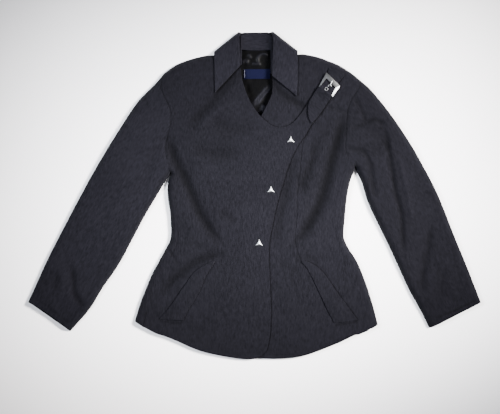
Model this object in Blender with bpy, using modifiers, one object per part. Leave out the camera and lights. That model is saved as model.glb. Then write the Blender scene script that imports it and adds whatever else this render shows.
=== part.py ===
"""A fitted blazer with a slanting wrap front, laid flat on its back with the sleeves spread.

Units in the tables are millimetres. +X is the wearer's left, +Y runs up to the collar and the
cloth rests on z = 0. Every cloth piece is an open surface with a wall added inwards, so the
garment is hollow: the back lies flat, the fronts lie over it and meet it along the outline.
"""
import math

import bmesh
import bpy
import numpy as np
from mathutils import Vector

MM = 0.001
OBJECT_NAME = "blazer"

# Cloth
CLOTH_WALL = 2.2
LINING_WALL = 1.0
STRAP_WALL = 2.3
WELT_WALL = 1.8
SEAM_INSET = 0.2
LAY_GAP = 0.4
LINING_GAP = 0.8
EDGE_RADIUS = 13.0
EDGE_TOLERANCE = 0.35
RIM_HEIGHT = 2.9
UNDERLAP_DROP = 2.8
UNDERLAP_REACH = (6.0, 45.0)

# Sampling of the cloth, in segments
SIDE_ROWS = 22
CHEST_ROWS = 9
STRIP_COLUMNS = 5
STRIP_START = 12
STRIP_TOP_LENGTH = 36.0
SLEEVE_ROWS = 21
CURVE_DETAIL = 24
EDGE_STEPS = (0.0, 0.8, 3.0, 7.5, 14.0)

# How high the upper cloth lies above the ground, down the garment: (y, height)
LOFT = (
    (310, 17.0),
    (250, 20.0),
    (140, 21.0),
    (0, 18.5),
    (-90, 16.5),
    (-200, 17.0),
    (-300, 13.5),
    (-350, 12.0),
)

# Neckline and closing edge of the right front, which lies on top
NECK_CORNER_RIGHT = (-68, 300)
NECKLINE_RIGHT = (
    NECK_CORNER_RIGHT, (-56, 288), (-31, 274), (-26, 246), (-18, 221), (-10, 201),
    (2, 182), (14, 167), (30, 153), (43, 145), (54, 143),
)
TONGUE_EDGE = (
    (54, 143), (70, 147), (82, 155), (95, 169), (105, 183), (112, 194), (122, 209), (133.5, 225),
)
TONGUE_END = ((133.5, 225), (161, 205))
CLOSING_EDGE = (
    (161, 205), (152, 191), (137, 169), (123, 153), (109, 128), (98, 114), (83, 87), (72, 60),
    (62, 28), (54, 1), (45, -32), (39, -63), (33, -91), (31, -121), (32, -160), (34, -208),
    (35, -247), (34, -281), (31, -310), (24, -335), (12, -344),
)
WRAP_GUIDE = (
    (54, 143), (34, 100), (4, 30), (-16, -60), (-26, -160), (-36, -260), (-45, -347),
)

# Left front, which lies underneath: neck corner, neckline, then the hidden underlap edge
NECK_CORNER_LEFT = (75, 300)
UNDERLAP_EDGE = (
    NECK_CORNER_LEFT, (62, 284), (37, 255), (37, 244), (39, 230), (36, 213), (29, 197),
    (16, 172), (-2, 142), (-20, 116), (-34, 85), (-41, 40), (-42, -60), (-42, -200), (-41, -343),
)

# Shoulder line where the fronts turn over to the back, from the neck out to the sleeve
SHOULDER_RIGHT = (
    NECK_CORNER_RIGHT, (-84, 299), (-100, 299), (-121, 295), (-146, 288), (-169, 278), (-193, 261),
)
SHOULDER_LEFT = (
    NECK_CORNER_LEFT, (90, 300), (103, 301.5), (120, 299), (141, 294), (159, 287), (177, 280), (194, 270),
    (209, 260), (226, 246),
)
PRINCESS_START_RIGHT = (-171, 277)
PRINCESS_START_LEFT = (194, 270)

# Armhole seams, from the shoulder point down to the underarm
ARMHOLE_RIGHT = (
    (-193, 261), (-199, 240), (-199, 222), (-190, 206), (-183, 192), (-178, 176), (-178, 158),
    (-181, 140), (-186, 122), (-189, 100), (-187, 80), (-183, 62), (-178, 47),
)
ARMHOLE_LEFT = (
    (226, 246), (225, 233), (218, 221), (209, 208), (202, 193), (198, 178), (196, 160),
    (195, 135), (193.5, 108), (193, 95), (197, 85), (205, 76), (211, 66), (215, 56),
)

# Torso outline from the underarm to the hem, and the side seam just inside it
SIDE_RIGHT = (
    (-178, 47), (-185, 28), (-186, 4), (-183, -22), (-180, -42), (-179, -70), (-179, -92),
    (-187, -109), (-202, -137), (-219, -168), (-232, -199), (-244, -230), (-256, -269),
)
SIDE_LEFT = (
    (215, 56), (207, 37), (200, 8), (196, -22), (194, -45), (191, -78), (192, -97),
    (203, -116), (218, -139), (231, -168), (243, -201), (254, -237), (264, -276),
)
SIDE_SEAM_RIGHT = (
    (-177, 68), (-168, 50), (-165, 28), (-166, 4), (-165, -22), (-164, -42), (-163, -70),
    (-164, -97), (-171, -117), (-187, -145), (-204, -175), (-215, -205), (-226, -236), (-238, -280),
)
SIDE_SEAM_LEFT = (
    (197, 68), (192, 42), (184, 8), (179, -22), (177, -45), (174, -78), (175, -101), (186, -124),
    (203, -149), (216, -176), (228, -206), (238, -242), (247, -284),
)

# Princess seams, from the shoulder to the hem, under the pocket welts on the way
PRINCESS_RIGHT = (
    PRINCESS_START_RIGHT, (-174, 262), (-170, 245), (-154, 219), (-141, 197), (-132, 174),
    (-112, 109), (-97, 34), (-88, -42), (-86, -95), (-89, -130), (-103, -157), (-124, -179),
    (-142, -203), (-162, -233), (-181, -260), (-203, -297),
)
PRINCESS_LEFT = (
    PRINCESS_START_LEFT, (191, 257), (183, 242), (167, 218), (152, 197), (135, 169), (118, 141),
    (103, 110), (99, 79), (96, 46), (92, 13), (90, -45), (87, -92), (92, -122), (106, -148),
    (128, -171), (149, -200), (171, -232), (193, -262), (215, -297),
)

# Hem of the upper cloth, right front then left front
HEM_RIGHT = (
    (-256, -269), (-232, -283), (-209, -295), (-182, -304), (-157, -315), (-132, -326),
    (-106, -335), (-79, -341), (-46, -347), (-17, -350), (0, -349), (12, -344),
)
HEM_LEFT = (
    (-41, -343), (0, -346), (22, -349), (45, -349), (78, -347), (99, -344), (126, -336),
    (152, -326), (183, -313), (212, -301), (241, -289), (264, -276),
)

# Sleeves: outer edge, inner edge, forearm seam and cuff line
SLEEVE_OUTER_RIGHT = (
    (-193, 261), (-217, 233), (-245, 206), (-281, 154), (-332, 71), (-372, -1), (-412, -77),
    (-444, -140), (-471, -200), (-484, -228),
)
SLEEVE_INNER_RIGHT = (
    (-178, 47), (-192, 28), (-204, 7), (-228, -33), (-260, -92), (-283, -136), (-302, -166),
    (-327, -202), (-352, -243), (-394, -291),
)
SLEEVE_OUTER_LEFT = (
    (226, 246), (243, 232), (285, 182), (331, 115), (362, 61), (393, 0), (427, -85),
    (458, -161), (484, -228),
)
SLEEVE_INNER_LEFT = (
    (215, 56), (228, 31), (243, -16), (270, -73), (296, -127), (331, -203), (355, -246),
    (374, -284),
)
FOREARM_SEAM_RIGHT = ((-201, 130), (-222, 88), (-243, 27), (-266, -31), (-304, -110), (-348, -190))
FOREARM_SEAM_LEFT = ((214, 128), (238, 88), (264, 36), (287, -26), (312, -90), (348, -176))
FOREARM_START = 9
CUFF_SEAM_SHARE = 0.82

# Back neck edge, from the right neck corner to the left one
BACK_NECK = (
    NECK_CORNER_RIGHT, (-50, 307.5), (-30, 309), (3, 309), (37, 309), (56, 307.5), NECK_CORNER_LEFT,
)
BACK_HEM_LIFT = 2.0

# The collar's band lies under the back here, so the back rises over it
BACK_LIFT = 2.6
BACK_LIFT_FROM_Y = 215
BACK_LIFT_RAMP_Y = 70
BACK_LIFT_CENTRE_X = 3
BACK_LIFT_HALF_WIDTH = 137
BACK_LIFT_RAMP_X = 42

# Largest folds of the upper cloth: depth is negative for a trough, width is half its breadth
FOLDS = (
    {"name": "right waist trough", "depth": -5.0, "width": 15,
     "path": ((-188, 132), (-153, 62), (-125, -12), (-86, -95))},
    {"name": "left waist trough", "depth": -5.0, "width": 15,
     "path": ((186, 137), (169, 78), (152, 18), (106, -88))},
    {"name": "above right pocket", "depth": -3.0, "width": 13,
     "path": ((-98, -124), (-132, -149), (-160, -170), (-186, -194))},
    {"name": "above left pocket", "depth": -2.2, "width": 13,
     "path": ((112, -122), (150, -146), (180, -172))},
    {"name": "below right collar point", "depth": -2.5, "width": 10,
     "path": ((-86, 210), (-102, 188), (-118, 164))},
    {"name": "right chest ridge", "depth": 1.8, "width": 12,
     "path": ((-100, 176), (-76, 186), (-48, 186))},
    {"name": "below left collar point", "depth": -2.4, "width": 8,
     "path": ((84, 206), (95, 195), (108, 186))},
    {"name": "left neckline sag", "depth": -2.0, "width": 14,
     "path": ((58, 224), (80, 206), (104, 190))},
    {"name": "strap crease", "depth": -2.0, "width": 8,
     "path": ((156, 188), (171, 184), (192, 177))},
    {"name": "right bust dent", "depth": -1.8, "width": 18,
     "path": ((-100, 108), (-86, 88))},
    {"name": "right waist dent", "depth": -1.5, "width": 14,
     "path": ((-56, -36), (-46, -54))},
    {"name": "left sleeve head ease", "depth": -2.4, "width": 8,
     "path": ((221, 212), (229, 194), (236, 158))},
    {"name": "left sleeve pinch", "depth": -3.0, "width": 8,
     "path": ((232, 132), (256, 135), (280, 124))},
    {"name": "left sleeve elbow diagonal", "depth": -2.5, "width": 9,
     "path": ((222, 58), (246, 47), (260, 18))},
    {"name": "left sleeve long fold", "depth": -3.0, "width": 9,
     "path": ((281, 108), (287, 51), (303, -10), (316, -86))},
    {"name": "left sleeve ridge", "depth": 2.0, "width": 14,
     "path": ((318, 44), (331, -58))},
    {"name": "left forearm trough", "depth": -2.0, "width": 11,
     "path": ((376, -54), (362, -131), (352, -192))},
    {"name": "right sleeve head ease", "depth": -2.2, "width": 9,
     "path": ((-206, 214), (-214, 186), (-212, 158))},
    {"name": "right sleeve elbow", "depth": -2.4, "width": 11,
     "path": ((-252, 62), (-282, 26), (-300, -18))},
    {"name": "right forearm trough", "depth": -2.2, "width": 11,
     "path": ((-388, -150), (-376, -226))},
)
FOLD_END_SHARE = 0.25
FOLD_END_DEPTH = 0.35

# Collar fall, station by station from the right point round the neck to the left point.
# "level" is 1 where the cloth lies on the fronts and 0 where it lies on the ground.
COLLAR_FALL = (
    {"at": "right short edge", "roll": (-31, 274), "edge": (-84, 218), "level": 1.0},
    {"at": "right wing low", "roll": (-31, 292), "edge": (-84.5, 240), "level": 1.0},
    {"at": "right wing", "roll": (-32, 312), "edge": (-85, 264), "level": 1.0},
    {"at": "right wing high", "roll": (-33, 331), "edge": (-85.5, 286), "level": 1.0},
    {"at": "right turn above", "roll": (-34, 343), "edge": (-86, 301), "level": 0.93},
    {"at": "right turn", "roll": (-34.5, 348), "edge": (-86.5, 306.5), "level": 0.45},
    {"at": "right turn below", "roll": (-32, 347), "edge": (-83, 305), "level": 0.0},
    {"at": "back right", "roll": (-20, 346.5), "edge": (-52, 292), "level": 0.0},
    {"at": "back centre", "roll": (3, 346.5), "edge": (3, 288), "level": 0.0},
    {"at": "back left", "roll": (26, 347), "edge": (58, 292), "level": 0.0},
    {"at": "left turn below", "roll": (37, 348), "edge": (89, 306), "level": 0.0},
    {"at": "left turn", "roll": (39.5, 349), "edge": (92.5, 308), "level": 0.45},
    {"at": "left turn above", "roll": (39.5, 344), "edge": (92, 302.5), "level": 0.93},
    {"at": "left wing high", "roll": (39.5, 330), "edge": (92, 284), "level": 1.0},
    {"at": "left wing", "roll": (39.5, 305), "edge": (92, 256), "level": 1.0},
    {"at": "left wing low", "roll": (38.5, 278), "edge": (91, 232), "level": 1.0},
    {"at": "left short edge", "roll": (38, 253), "edge": (90, 210), "level": 1.0},
)
COLLAR_TURNS = (5, 11)
COLLAR_FALL_ROWS = (13, 12, 13)
COLLAR_FALL_COLUMNS = 6
COLLAR_LIFT = 2.9
COLLAR_ROLL_LIFT = 1.6
COLLAR_CURL = ((1.2, 1.0), (1.5, 4.2))

# Collar stand: a band across the back of the neck with a short leg down each side
STAND_LEFT_X = 37.2
STAND_RIGHT_X = -29.6
STAND_LEG_WIDTH = 3.2
STAND_SEAM_Y = 309.8
STAND_TOP = ((0.0, 337.0), (6.0, 342.5), (16.0, 343.6))
STAND_LEG_END_RIGHT = 277
STAND_LEG_END_LEFT = 258
STAND_HEIGHT_MIDDLE = 4.9
STAND_HEIGHT_ROLL = 16.6
STAND_RISE_WIDTH = 22
STAND_WALL = 2.0

# Lining inside the back, as far as the neck opening shows it
LINING_RIGHT_EDGE = (
    (-46, 304.5), (-44, 272), (-38, 240), (-27, 205), (-10, 168), (6, 146),
)
LINING_LEFT_EDGE = (
    (51, 304.5), (52, 272), (51, 240), (46, 210), (38, 180), (28, 146),
)

# Neck label, a plain woven patch
LABEL_CORNERS = ((-23, 269), (34, 269.5), (34, 248.5), (-23, 248))
LABEL_WALL = 0.8

# Pocket welts, from the upper point down
WELT_RIGHT_OUTER = (
    (-87, -139), (-104, -147), (-127, -162), (-144, -185), (-159, -206), (-177, -233), (-203, -264),
)
WELT_RIGHT_INNER = (
    (-84, -142), (-92, -155), (-102, -170), (-113, -197), (-125, -220), (-140, -243), (-151, -267),
)
WELT_LEFT_OUTER = (
    (102, -139), (116, -142), (131, -150), (147, -165), (164, -189), (183, -216), (202, -241),
    (220, -266),
)
WELT_LEFT_INNER = (
    (100, -143), (106, -148), (116, -163), (129, -189), (143, -218), (155, -244), (170, -272),
)

# Shoulder strap: its two edges from the shoulder seam to the pointed end
STRAP_RIGHT_EDGE = (
    (158, 271), (155, 259), (154.2, 248), (148, 240), (141.4, 232.6), (133, 226), (122, 209),
    (115, 195), (113, 180), (114, 166), (119.5, 154.5),
)
STRAP_LEFT_EDGE = (
    (194, 258), (180, 240), (170.6, 228), (166, 219.5), (162.4, 213.6), (161, 205), (152, 191),
    (137, 169), (129, 160), (123, 153.5),
)
STRAP_ROWS = 28
STRAP_COLUMNS = 4
STRAP_BULGE = 5.6
STRAP_BULGE_WIDTH = 9.0

# Buckle: outer and inner corners of the frame, near bar last, with heights above the front
BAR_MIDDLE = (151.1, 219.9)
STRAP_DIRECTION = (0.593, 0.805)
BUCKLE_THICK = 2.6
BUCKLE_CORNERS = (
    {"at": "far right", "outer": (152.5, 260.5), "inner": (152.8, 247.0), "lift": 3.7},
    {"at": "far left", "outer": (181.5, 231.5), "inner": (171.8, 227.2), "lift": 3.7},
    {"at": "near left", "outer": (165.5, 207.5), "inner": (163.6, 212.5), "lift": 0.3},
    {"at": "near right", "outer": (136.0, 229.0), "inner": (139.2, 230.6), "lift": 0.3},
)
TAB_WIDTH = 26
TAB_CLEARANCE = 0.5
TAB_WALL = 1.0
EYELET_OUTER = 4.4
EYELET_INNER = 2.1
EYELET_HEIGHT = 1.2
EYELET_SIDE = 0.8
EYELET_OUTER_EASE = 0.4
EYELET_INNER_EASE = 0.2
EYELET_SEGMENTS = 18
EYELETS = (("eyelet_fastened", (160.0, 232.0)), ("eyelet_free", (152.0, 224.6)))
PRONG_RADIUS = 0.9
PRONG_PATH = ((160.0, 232.0, 4.2), (160.7, 233.4, 5.8), (162.2, 236.4, 7.4), (165.0, 241.8, 7.5))

# Snap caps on the right front's edge: three-cornered studs
SNAPS = (("snap_upper", (77, 117)), ("snap_middle", (35, 11)), ("snap_lower", (10, -102)))
SNAP_RADIUS = 9.0
SNAP_WAIST = 0.46
SNAP_HEIGHT = 3.4
SNAP_SEGMENTS = 24
SNAP_CORNER = 1.3
SNAP_SEAT = 0.6
SNAP_PROFILE = ((1.0, 0.0), (0.97, 0.9), (0.55, 2.3))

# Colours are linear: (red, green, blue), roughness, metallic
FINISHES = {
    "suiting": ((0.030, 0.031, 0.045), 0.88, 0.0),
    "suiting_inside": ((0.016, 0.016, 0.024), 0.85, 0.0),
    "lining": ((0.012, 0.012, 0.018), 0.38, 0.0),
    "label": ((0.020, 0.028, 0.085), 0.6, 0.0),
    "metal": ((0.62, 0.63, 0.66), 0.22, 1.0),
    "metal_dark": ((0.30, 0.31, 0.34), 0.35, 1.0),
}


def finish(name):
    """A Principled material with this finish, made once."""
    found = bpy.data.materials.get(name)
    if found:
        return found
    color, roughness, metallic = FINISHES[name]
    made = bpy.data.materials.new(name)
    made.use_nodes = True
    shader = made.node_tree.nodes["Principled BSDF"]
    shader.inputs["Base Color"].default_value = (*color, 1.0)
    shader.inputs["Roughness"].default_value = roughness
    shader.inputs["Metallic"].default_value = metallic
    return made


def dense(points):
    """A smooth curve through the points, as many short steps."""
    knots = np.array(points, dtype=float)
    ends = np.vstack([2 * knots[0] - knots[1], knots, 2 * knots[-1] - knots[-2]])
    steps = []
    for before, start, stop, after in zip(ends, ends[1:], ends[2:], ends[3:]):
        span = np.linalg.norm(stop - start)
        into = (stop - before) * span / (span + np.linalg.norm(start - before))
        out_of = (after - start) * span / (span + np.linalg.norm(after - stop))
        t = np.linspace(0, 1, CURVE_DETAIL, endpoint=False)[:, None]
        steps.append(
            start * (2 * t ** 3 - 3 * t ** 2 + 1)
            + into * (t ** 3 - 2 * t ** 2 + t)
            + stop * (3 * t ** 2 - 2 * t ** 3)
            + out_of * (t ** 3 - t ** 2)
        )
    return np.vstack(steps + [knots[-1:]])


def lengths_along(path):
    """Distance from the start of a path to each of its points."""
    steps = np.linalg.norm(np.diff(path, axis=0), axis=1)
    return np.concatenate([[0.0], np.cumsum(steps)])


def at_lengths(path, wanted):
    """Points of a path at these distances from its start."""
    along = lengths_along(path)
    columns = [np.interp(wanted, along, path[:, k]) for k in range(path.shape[1])]
    return np.stack(columns, axis=1)


def even(points, segments):
    """A smooth curve through the points, cut into equal segments."""
    path = dense(points)
    return at_lengths(path, np.linspace(0, lengths_along(path)[-1], segments + 1))


def edge_first(points, segments):
    """As even(), with short steps first, where the cloth turns over the outline."""
    path = dense(points)
    total = lengths_along(path)[-1]
    rest = np.linspace(EDGE_STEPS[-1], total, segments + 1)
    return at_lengths(path, np.concatenate([EDGE_STEPS[:-1], rest]))


def edge_both(points, segments):
    """As even(), with short steps at both ends."""
    path = dense(points)
    total = lengths_along(path)[-1]
    rest = np.linspace(EDGE_STEPS[-1], total - EDGE_STEPS[-1], segments + 1)
    last = total - np.array(EDGE_STEPS[-2::-1])
    return at_lengths(path, np.concatenate([EDGE_STEPS[:-1], rest, last]))


def between_x(points, start_x, stop_x, segments):
    """The part of a curve between two values of x, in equal steps of x."""
    path = dense(points)
    xs = np.linspace(start_x, stop_x, segments + 1)
    return np.stack([xs, np.interp(xs, path[:, 0], path[:, 1])], axis=1)


def shares(path):
    along = lengths_along(path)
    return along / along[-1]


def coons(left, top, right, bottom):
    """Fill four sampled sides with a grid of plan points, rows first."""
    u = (0.5 * (shares(top) + shares(bottom)))[None, :, None]
    v = (0.5 * (shares(left) + shares(right)))[:, None, None]
    sides = (1 - u) * left[:, None] + u * right[:, None]
    ends = (1 - v) * top[None] + v * bottom[None]
    corners = (
        (1 - u) * (1 - v) * top[0] + u * (1 - v) * top[-1]
        + (1 - u) * v * bottom[0] + u * v * bottom[-1]
    )
    return sides + ends - corners


def nearest(x, y, path):
    """Distance from each point to a path, and the share of the path where it is nearest."""
    points = np.stack([np.ravel(x), np.ravel(y)], axis=1)
    start, step = path[:-1], np.diff(path, axis=0)
    squared = np.maximum((step ** 2).sum(axis=1), 1e-12)
    offset = points[:, None] - start[None]
    t = np.clip((offset * step).sum(axis=2) / squared, 0, 1)
    gap = np.linalg.norm(offset - t[..., None] * step, axis=2)
    best = gap.argmin(axis=1)
    rows = np.arange(len(points))
    along = lengths_along(path)
    where = along[best] + t[rows, best] * np.sqrt(squared[best])
    return gap[rows, best].reshape(np.shape(x)), (where / along[-1]).reshape(np.shape(x))


def inside(x, y, outline):
    """Whether each point lies inside a closed outline."""
    x, y = np.asarray(x, dtype=float), np.asarray(y, dtype=float)
    result = np.zeros(np.shape(x), dtype=bool)
    for (x1, y1), (x2, y2) in zip(outline, np.roll(outline, -1, axis=0)):
        crosses = (y1 > y) != (y2 > y)
        with np.errstate(divide="ignore", invalid="ignore"):
            result ^= crosses & (x < (x2 - x1) * (y - y1) / (y2 - y1) + x1)
    return result


def smooth(t):
    t = np.clip(t, 0, 1)
    return t * t * (3 - 2 * t)


# Further out than any edge of the garment
BEYOND = 400

TURNED_EDGES = [
    dense(points)[::4] for points in (
        SHOULDER_RIGHT, SHOULDER_LEFT, SIDE_RIGHT, SIDE_LEFT,
        SLEEVE_OUTER_RIGHT, SLEEVE_OUTER_LEFT, SLEEVE_INNER_RIGHT, SLEEVE_INNER_LEFT,
    )
]
FOLD_PATHS = [dense(fold["path"])[::6] for fold in FOLDS]
WRAP_EDGE = np.vstack([dense(NECKLINE_RIGHT), dense(TONGUE_EDGE), dense(CLOSING_EDGE)])[::4]
WRAP_AREA = np.vstack([WRAP_EDGE, [(12, -BEYOND), (-BEYOND, -BEYOND), (-BEYOND, 303)]])


def back_lift(x, y):
    """How far the back rises over the collar band."""
    up = smooth((y - BACK_LIFT_FROM_Y) / BACK_LIFT_RAMP_Y)
    across = smooth((BACK_LIFT_HALF_WIDTH - np.abs(x - BACK_LIFT_CENTRE_X)) / BACK_LIFT_RAMP_X)
    return BACK_LIFT * up * across


def full_height(x, y):
    """Height of the upper cloth away from the outline, with its folds."""
    levels = np.array(LOFT[::-1], dtype=float)
    height = np.interp(y, levels[:, 0], levels[:, 1])
    for fold, path in zip(FOLDS, FOLD_PATHS):
        gap, share = nearest(x, y, path)
        ends = smooth(np.minimum(share, 1 - share) / FOLD_END_SHARE)
        strength = FOLD_END_DEPTH + (1 - FOLD_END_DEPTH) * ends
        height = height + fold["depth"] * strength * np.exp(-(gap / fold["width"]) ** 2)
    return height


def outline_gap(x, y):
    """Distance to the outline where the cloth turns over."""
    gap = np.full(np.shape(x), 1e3)
    for path in TURNED_EDGES:
        gap = np.minimum(gap, nearest(x, y, path)[0])
    return gap


def turn(x, y):
    """0 on the outline, 1 where the cloth has finished turning over it."""
    gap = outline_gap(x, y)
    short = np.clip(1 - np.maximum(gap - EDGE_TOLERANCE, 0) / EDGE_RADIUS, 0, 1)
    return np.sqrt(1 - short ** 2)


def rim_height(x, y):
    """Where the upper cloth meets the back, just above it."""
    return RIM_HEIGHT + back_lift(x, y)


def top_height(x, y, rim=RIM_HEIGHT):
    """Outer surface of the fronts and sleeves."""
    low = rim + back_lift(x, y)
    return low + (full_height(x, y) - low) * turn(x, y)


def under_height(x, y):
    """Outer surface of the left front, which drops under the right front."""
    gap = nearest(x, y, WRAP_EDGE)[0]
    near, far = UNDERLAP_REACH
    drop = np.where(inside(x, y, WRAP_AREA), 1.0, 1 - smooth((gap - near) / (far - near)))
    return top_height(x, y) - UNDERLAP_DROP * drop * turn(x, y)


def under_sleeve_height(x, y):
    return top_height(x, y, rim=0.0)


def back_height(x, y):
    return CLOTH_WALL + back_lift(x, y)


def lining_height(x, y):
    return back_height(x, y) + LINING_GAP + LINING_WALL


def label_height(x, y):
    return lining_height(x, y) + LAY_GAP + LABEL_WALL


def stand_height(x, y):
    gap = np.minimum(x - STAND_RIGHT_X, STAND_LEFT_X - x)
    rise = np.clip(1 - gap / STAND_RISE_WIDTH, 0, 1) ** 2
    return STAND_HEIGHT_MIDDLE + (STAND_HEIGHT_ROLL - STAND_HEIGHT_MIDDLE) * rise


def welt_height(x, y):
    return top_height(x, y) + LAY_GAP + WELT_WALL


def strap_height(x, y):
    along = (x - BAR_MIDDLE[0]) * STRAP_DIRECTION[0] + (y - BAR_MIDDLE[1]) * STRAP_DIRECTION[1]
    bulge = STRAP_BULGE * np.exp(-(along / STRAP_BULGE_WIDTH) ** 2)
    return top_height(x, y) + LAY_GAP + STRAP_WALL + bulge


def clear_scene():
    for item in list(bpy.data.objects):
        bpy.data.objects.remove(item, do_unlink=True)


def garment_collection():
    made = bpy.data.collections.new(OBJECT_NAME)
    bpy.context.scene.collection.children.link(made)
    return made


def new_object(name, mesh, finish_name, group):
    made = bpy.data.objects.new(name, mesh)
    mesh.materials.append(finish(finish_name))
    group.objects.link(made)
    return made


def welded(grids):
    """Join grids that share sides into one list of points and one of quads."""
    numbers, points, quads = {}, [], []
    for grid in grids:
        rows = []
        for row in grid:
            keys = [tuple(np.round(point, 3)) for point in row]
            for key, point in zip(keys, row):
                if key not in numbers:
                    numbers[key] = len(points)
                    points.append(point)
            rows.append([numbers[key] for key in keys])
        for upper, lower in zip(rows, rows[1:]):
            for k in range(len(upper) - 1):
                quads.append((upper[k], lower[k], lower[k + 1], upper[k + 1]))
    return np.array(points, dtype=float), quads


def open_edges(quads):
    """Directed edges that belong to one quad only."""
    edges = {(quad[k], quad[(k + 1) % 4]) for quad in quads for k in range(4)}
    return [(a, b) for a, b in edges if (b, a) not in edges]


def inset_outline(points, quads, distance):
    """Draw a flat sheet in from its own outline, which leaves the gap at each seam."""
    area = sum(
        points[a][0] * points[b][1] - points[b][0] * points[a][1] for a, b in open_edges(quads)
    )
    moves = {}
    for a, b in open_edges(quads):
        along = (points[b] - points[a]) / np.linalg.norm(points[b] - points[a])
        inward = np.array([-along[1], along[0]]) * np.sign(area)
        for k in (a, b):
            moves.setdefault(k, []).append(inward)
    result = points.copy()
    for k, (first, second) in moves.items():
        result[k] += (first + second) * distance / max(0.5, 1 + first @ second)
    return result


def sheet_normals(points, quads):
    """Unit normal at each point of a sheet, from the quads around it."""
    normals = np.zeros_like(points)
    for quad in quads:
        a, b, c, d = points[list(quad)]
        for k in quad:
            normals[k] += np.cross(c - a, d - b)
    return normals / np.linalg.norm(normals, axis=1)[:, None]


def surface_normals(height, x, y):
    """Unit normal of a height function."""
    step = 0.4
    slope_x = (height(x + step, y) - height(x - step, y)) / (2 * step)
    slope_y = (height(x, y + step) - height(x, y - step)) / (2 * step)
    normals = np.stack([-slope_x, -slope_y, np.ones_like(slope_x)], axis=1)
    return normals / np.linalg.norm(normals, axis=1)[:, None]


def walled(name, outer, inner, quads, finish_name, group):
    """A closed cloth piece from its outer points, inner points and quads."""
    count = len(outer)
    faces = [tuple(quad) for quad in quads]
    faces += [tuple(count + k for k in reversed(quad)) for quad in quads]
    faces += [(b, a, count + a, count + b) for a, b in open_edges(quads)]
    mesh = bpy.data.meshes.new(name)
    mesh.from_pydata(np.vstack([outer, inner]) * MM, [], faces)
    bm = bmesh.new()
    bm.from_mesh(mesh)
    bmesh.ops.recalc_face_normals(bm, faces=bm.faces)
    if bm.calc_volume(signed=True) < 0:
        bmesh.ops.reverse_faces(bm, faces=bm.faces)
    bm.to_mesh(mesh)
    bm.free()
    mesh.shade_smooth()
    mesh.set_sharp_from_angle(angle=math.radians(50))
    return new_object(name, mesh, finish_name, group)


def panel(name, grids, height, wall, finish_name, group, floor=None):
    """A cloth piece from plan grids, lifted to its height, with its wall inwards."""
    plan, quads = welded(grids)
    plan = inset_outline(plan, quads, SEAM_INSET)
    x, y = plan[:, 0], plan[:, 1]
    outer = np.stack([x, y, height(x, y)], axis=1)
    normals = surface_normals(height, x, y)
    on_outline = outline_gap(x, y) < 0.6
    rims = sheet_normals(outer, quads)
    rims *= np.sign(rims[:, 2].sum())
    normals[on_outline] = rims[on_outline]
    inner = outer - wall * normals
    if floor is not None:
        inner[:, 2] = np.maximum(inner[:, 2], floor(inner[:, 0], inner[:, 1]))
    return walled(name, outer, inner, quads, finish_name, group)


def closed_mesh(name, bm, finish_name, group):
    """A solid piece whose mesh is closed already."""
    bmesh.ops.recalc_face_normals(bm, faces=bm.faces)
    mesh = bpy.data.meshes.new(name)
    bm.to_mesh(mesh)
    bm.free()
    mesh.shade_smooth()
    mesh.set_sharp_from_angle(angle=math.radians(40))
    return new_object(name, mesh, finish_name, group)


def build_fronts(group):
    """Four front panels and the two side panels."""
    sides = {
        "right": {
            "armhole": ARMHOLE_RIGHT, "seam": SIDE_SEAM_RIGHT, "side": SIDE_RIGHT,
            "princess": PRINCESS_RIGHT, "shoulder": SHOULDER_RIGHT, "hem": HEM_RIGHT,
            "height": top_height,
        },
        "left": {
            "armhole": ARMHOLE_LEFT, "seam": SIDE_SEAM_LEFT, "side": SIDE_LEFT,
            "princess": PRINCESS_LEFT, "shoulder": SHOULDER_LEFT, "hem": HEM_LEFT,
            "height": under_height,
        },
    }
    for side, cut in sides.items():
        armhole = edge_both(cut["armhole"], CHEST_ROWS)
        underarm = armhole[STRIP_START + 1:]
        seam_path = dense((tuple(armhole[STRIP_START]),) + cut["seam"])
        top_rows = len(underarm) - 1
        seam = at_lengths(seam_path, np.concatenate([
            np.linspace(0, STRIP_TOP_LENGTH, top_rows + 1)[:-1],
            np.linspace(STRIP_TOP_LENGTH, lengths_along(seam_path)[-1], SIDE_ROWS - top_rows + 1),
        ]))
        outer = np.vstack([armhole[:STRIP_START + 1], seam[1:]])
        princess = edge_first(cut["princess"], len(outer) - len(EDGE_STEPS))
        shoulder = dense(cut["shoulder"])
        split = nearest(*[np.array([c]) for c in cut["princess"][0]], shoulder)[1][0]
        total = lengths_along(shoulder)[-1]
        neck_part = at_lengths(shoulder, np.linspace(0, split * total, 10))
        sleeve_part = at_lengths(shoulder, np.linspace(split * total, total, 6))
        neck_part[-1] = sleeve_part[0] = princess[0]
        hem_out = between_x(cut["hem"], outer[-1][0], princess[-1][0], 5)
        hem_out[0], hem_out[-1] = outer[-1], princess[-1]
        panel("front_%s_side" % side, [coons(outer, sleeve_part[::-1], princess, hem_out)],
              cut["height"], CLOTH_WALL, "suiting", group, rim_height)
        strip_side = np.vstack([underarm, even(cut["side"], SIDE_ROWS - top_rows)[1:]])
        strip_top = even((tuple(underarm[0]), tuple(armhole[STRIP_START])), STRIP_COLUMNS)
        strip_hem = between_x(cut["hem"], strip_side[-1][0], seam[-1][0], STRIP_COLUMNS)
        strip_hem[0], strip_hem[-1] = strip_side[-1], seam[-1]
        panel("side_%s" % side, [coons(strip_side, strip_top, seam, strip_hem)],
              cut["height"], CLOTH_WALL, "suiting", group, rim_height)
        if side == "right":
            build_right_centre(group, princess, neck_part[::-1])
        else:
            build_left_centre(group, princess, neck_part)


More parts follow.
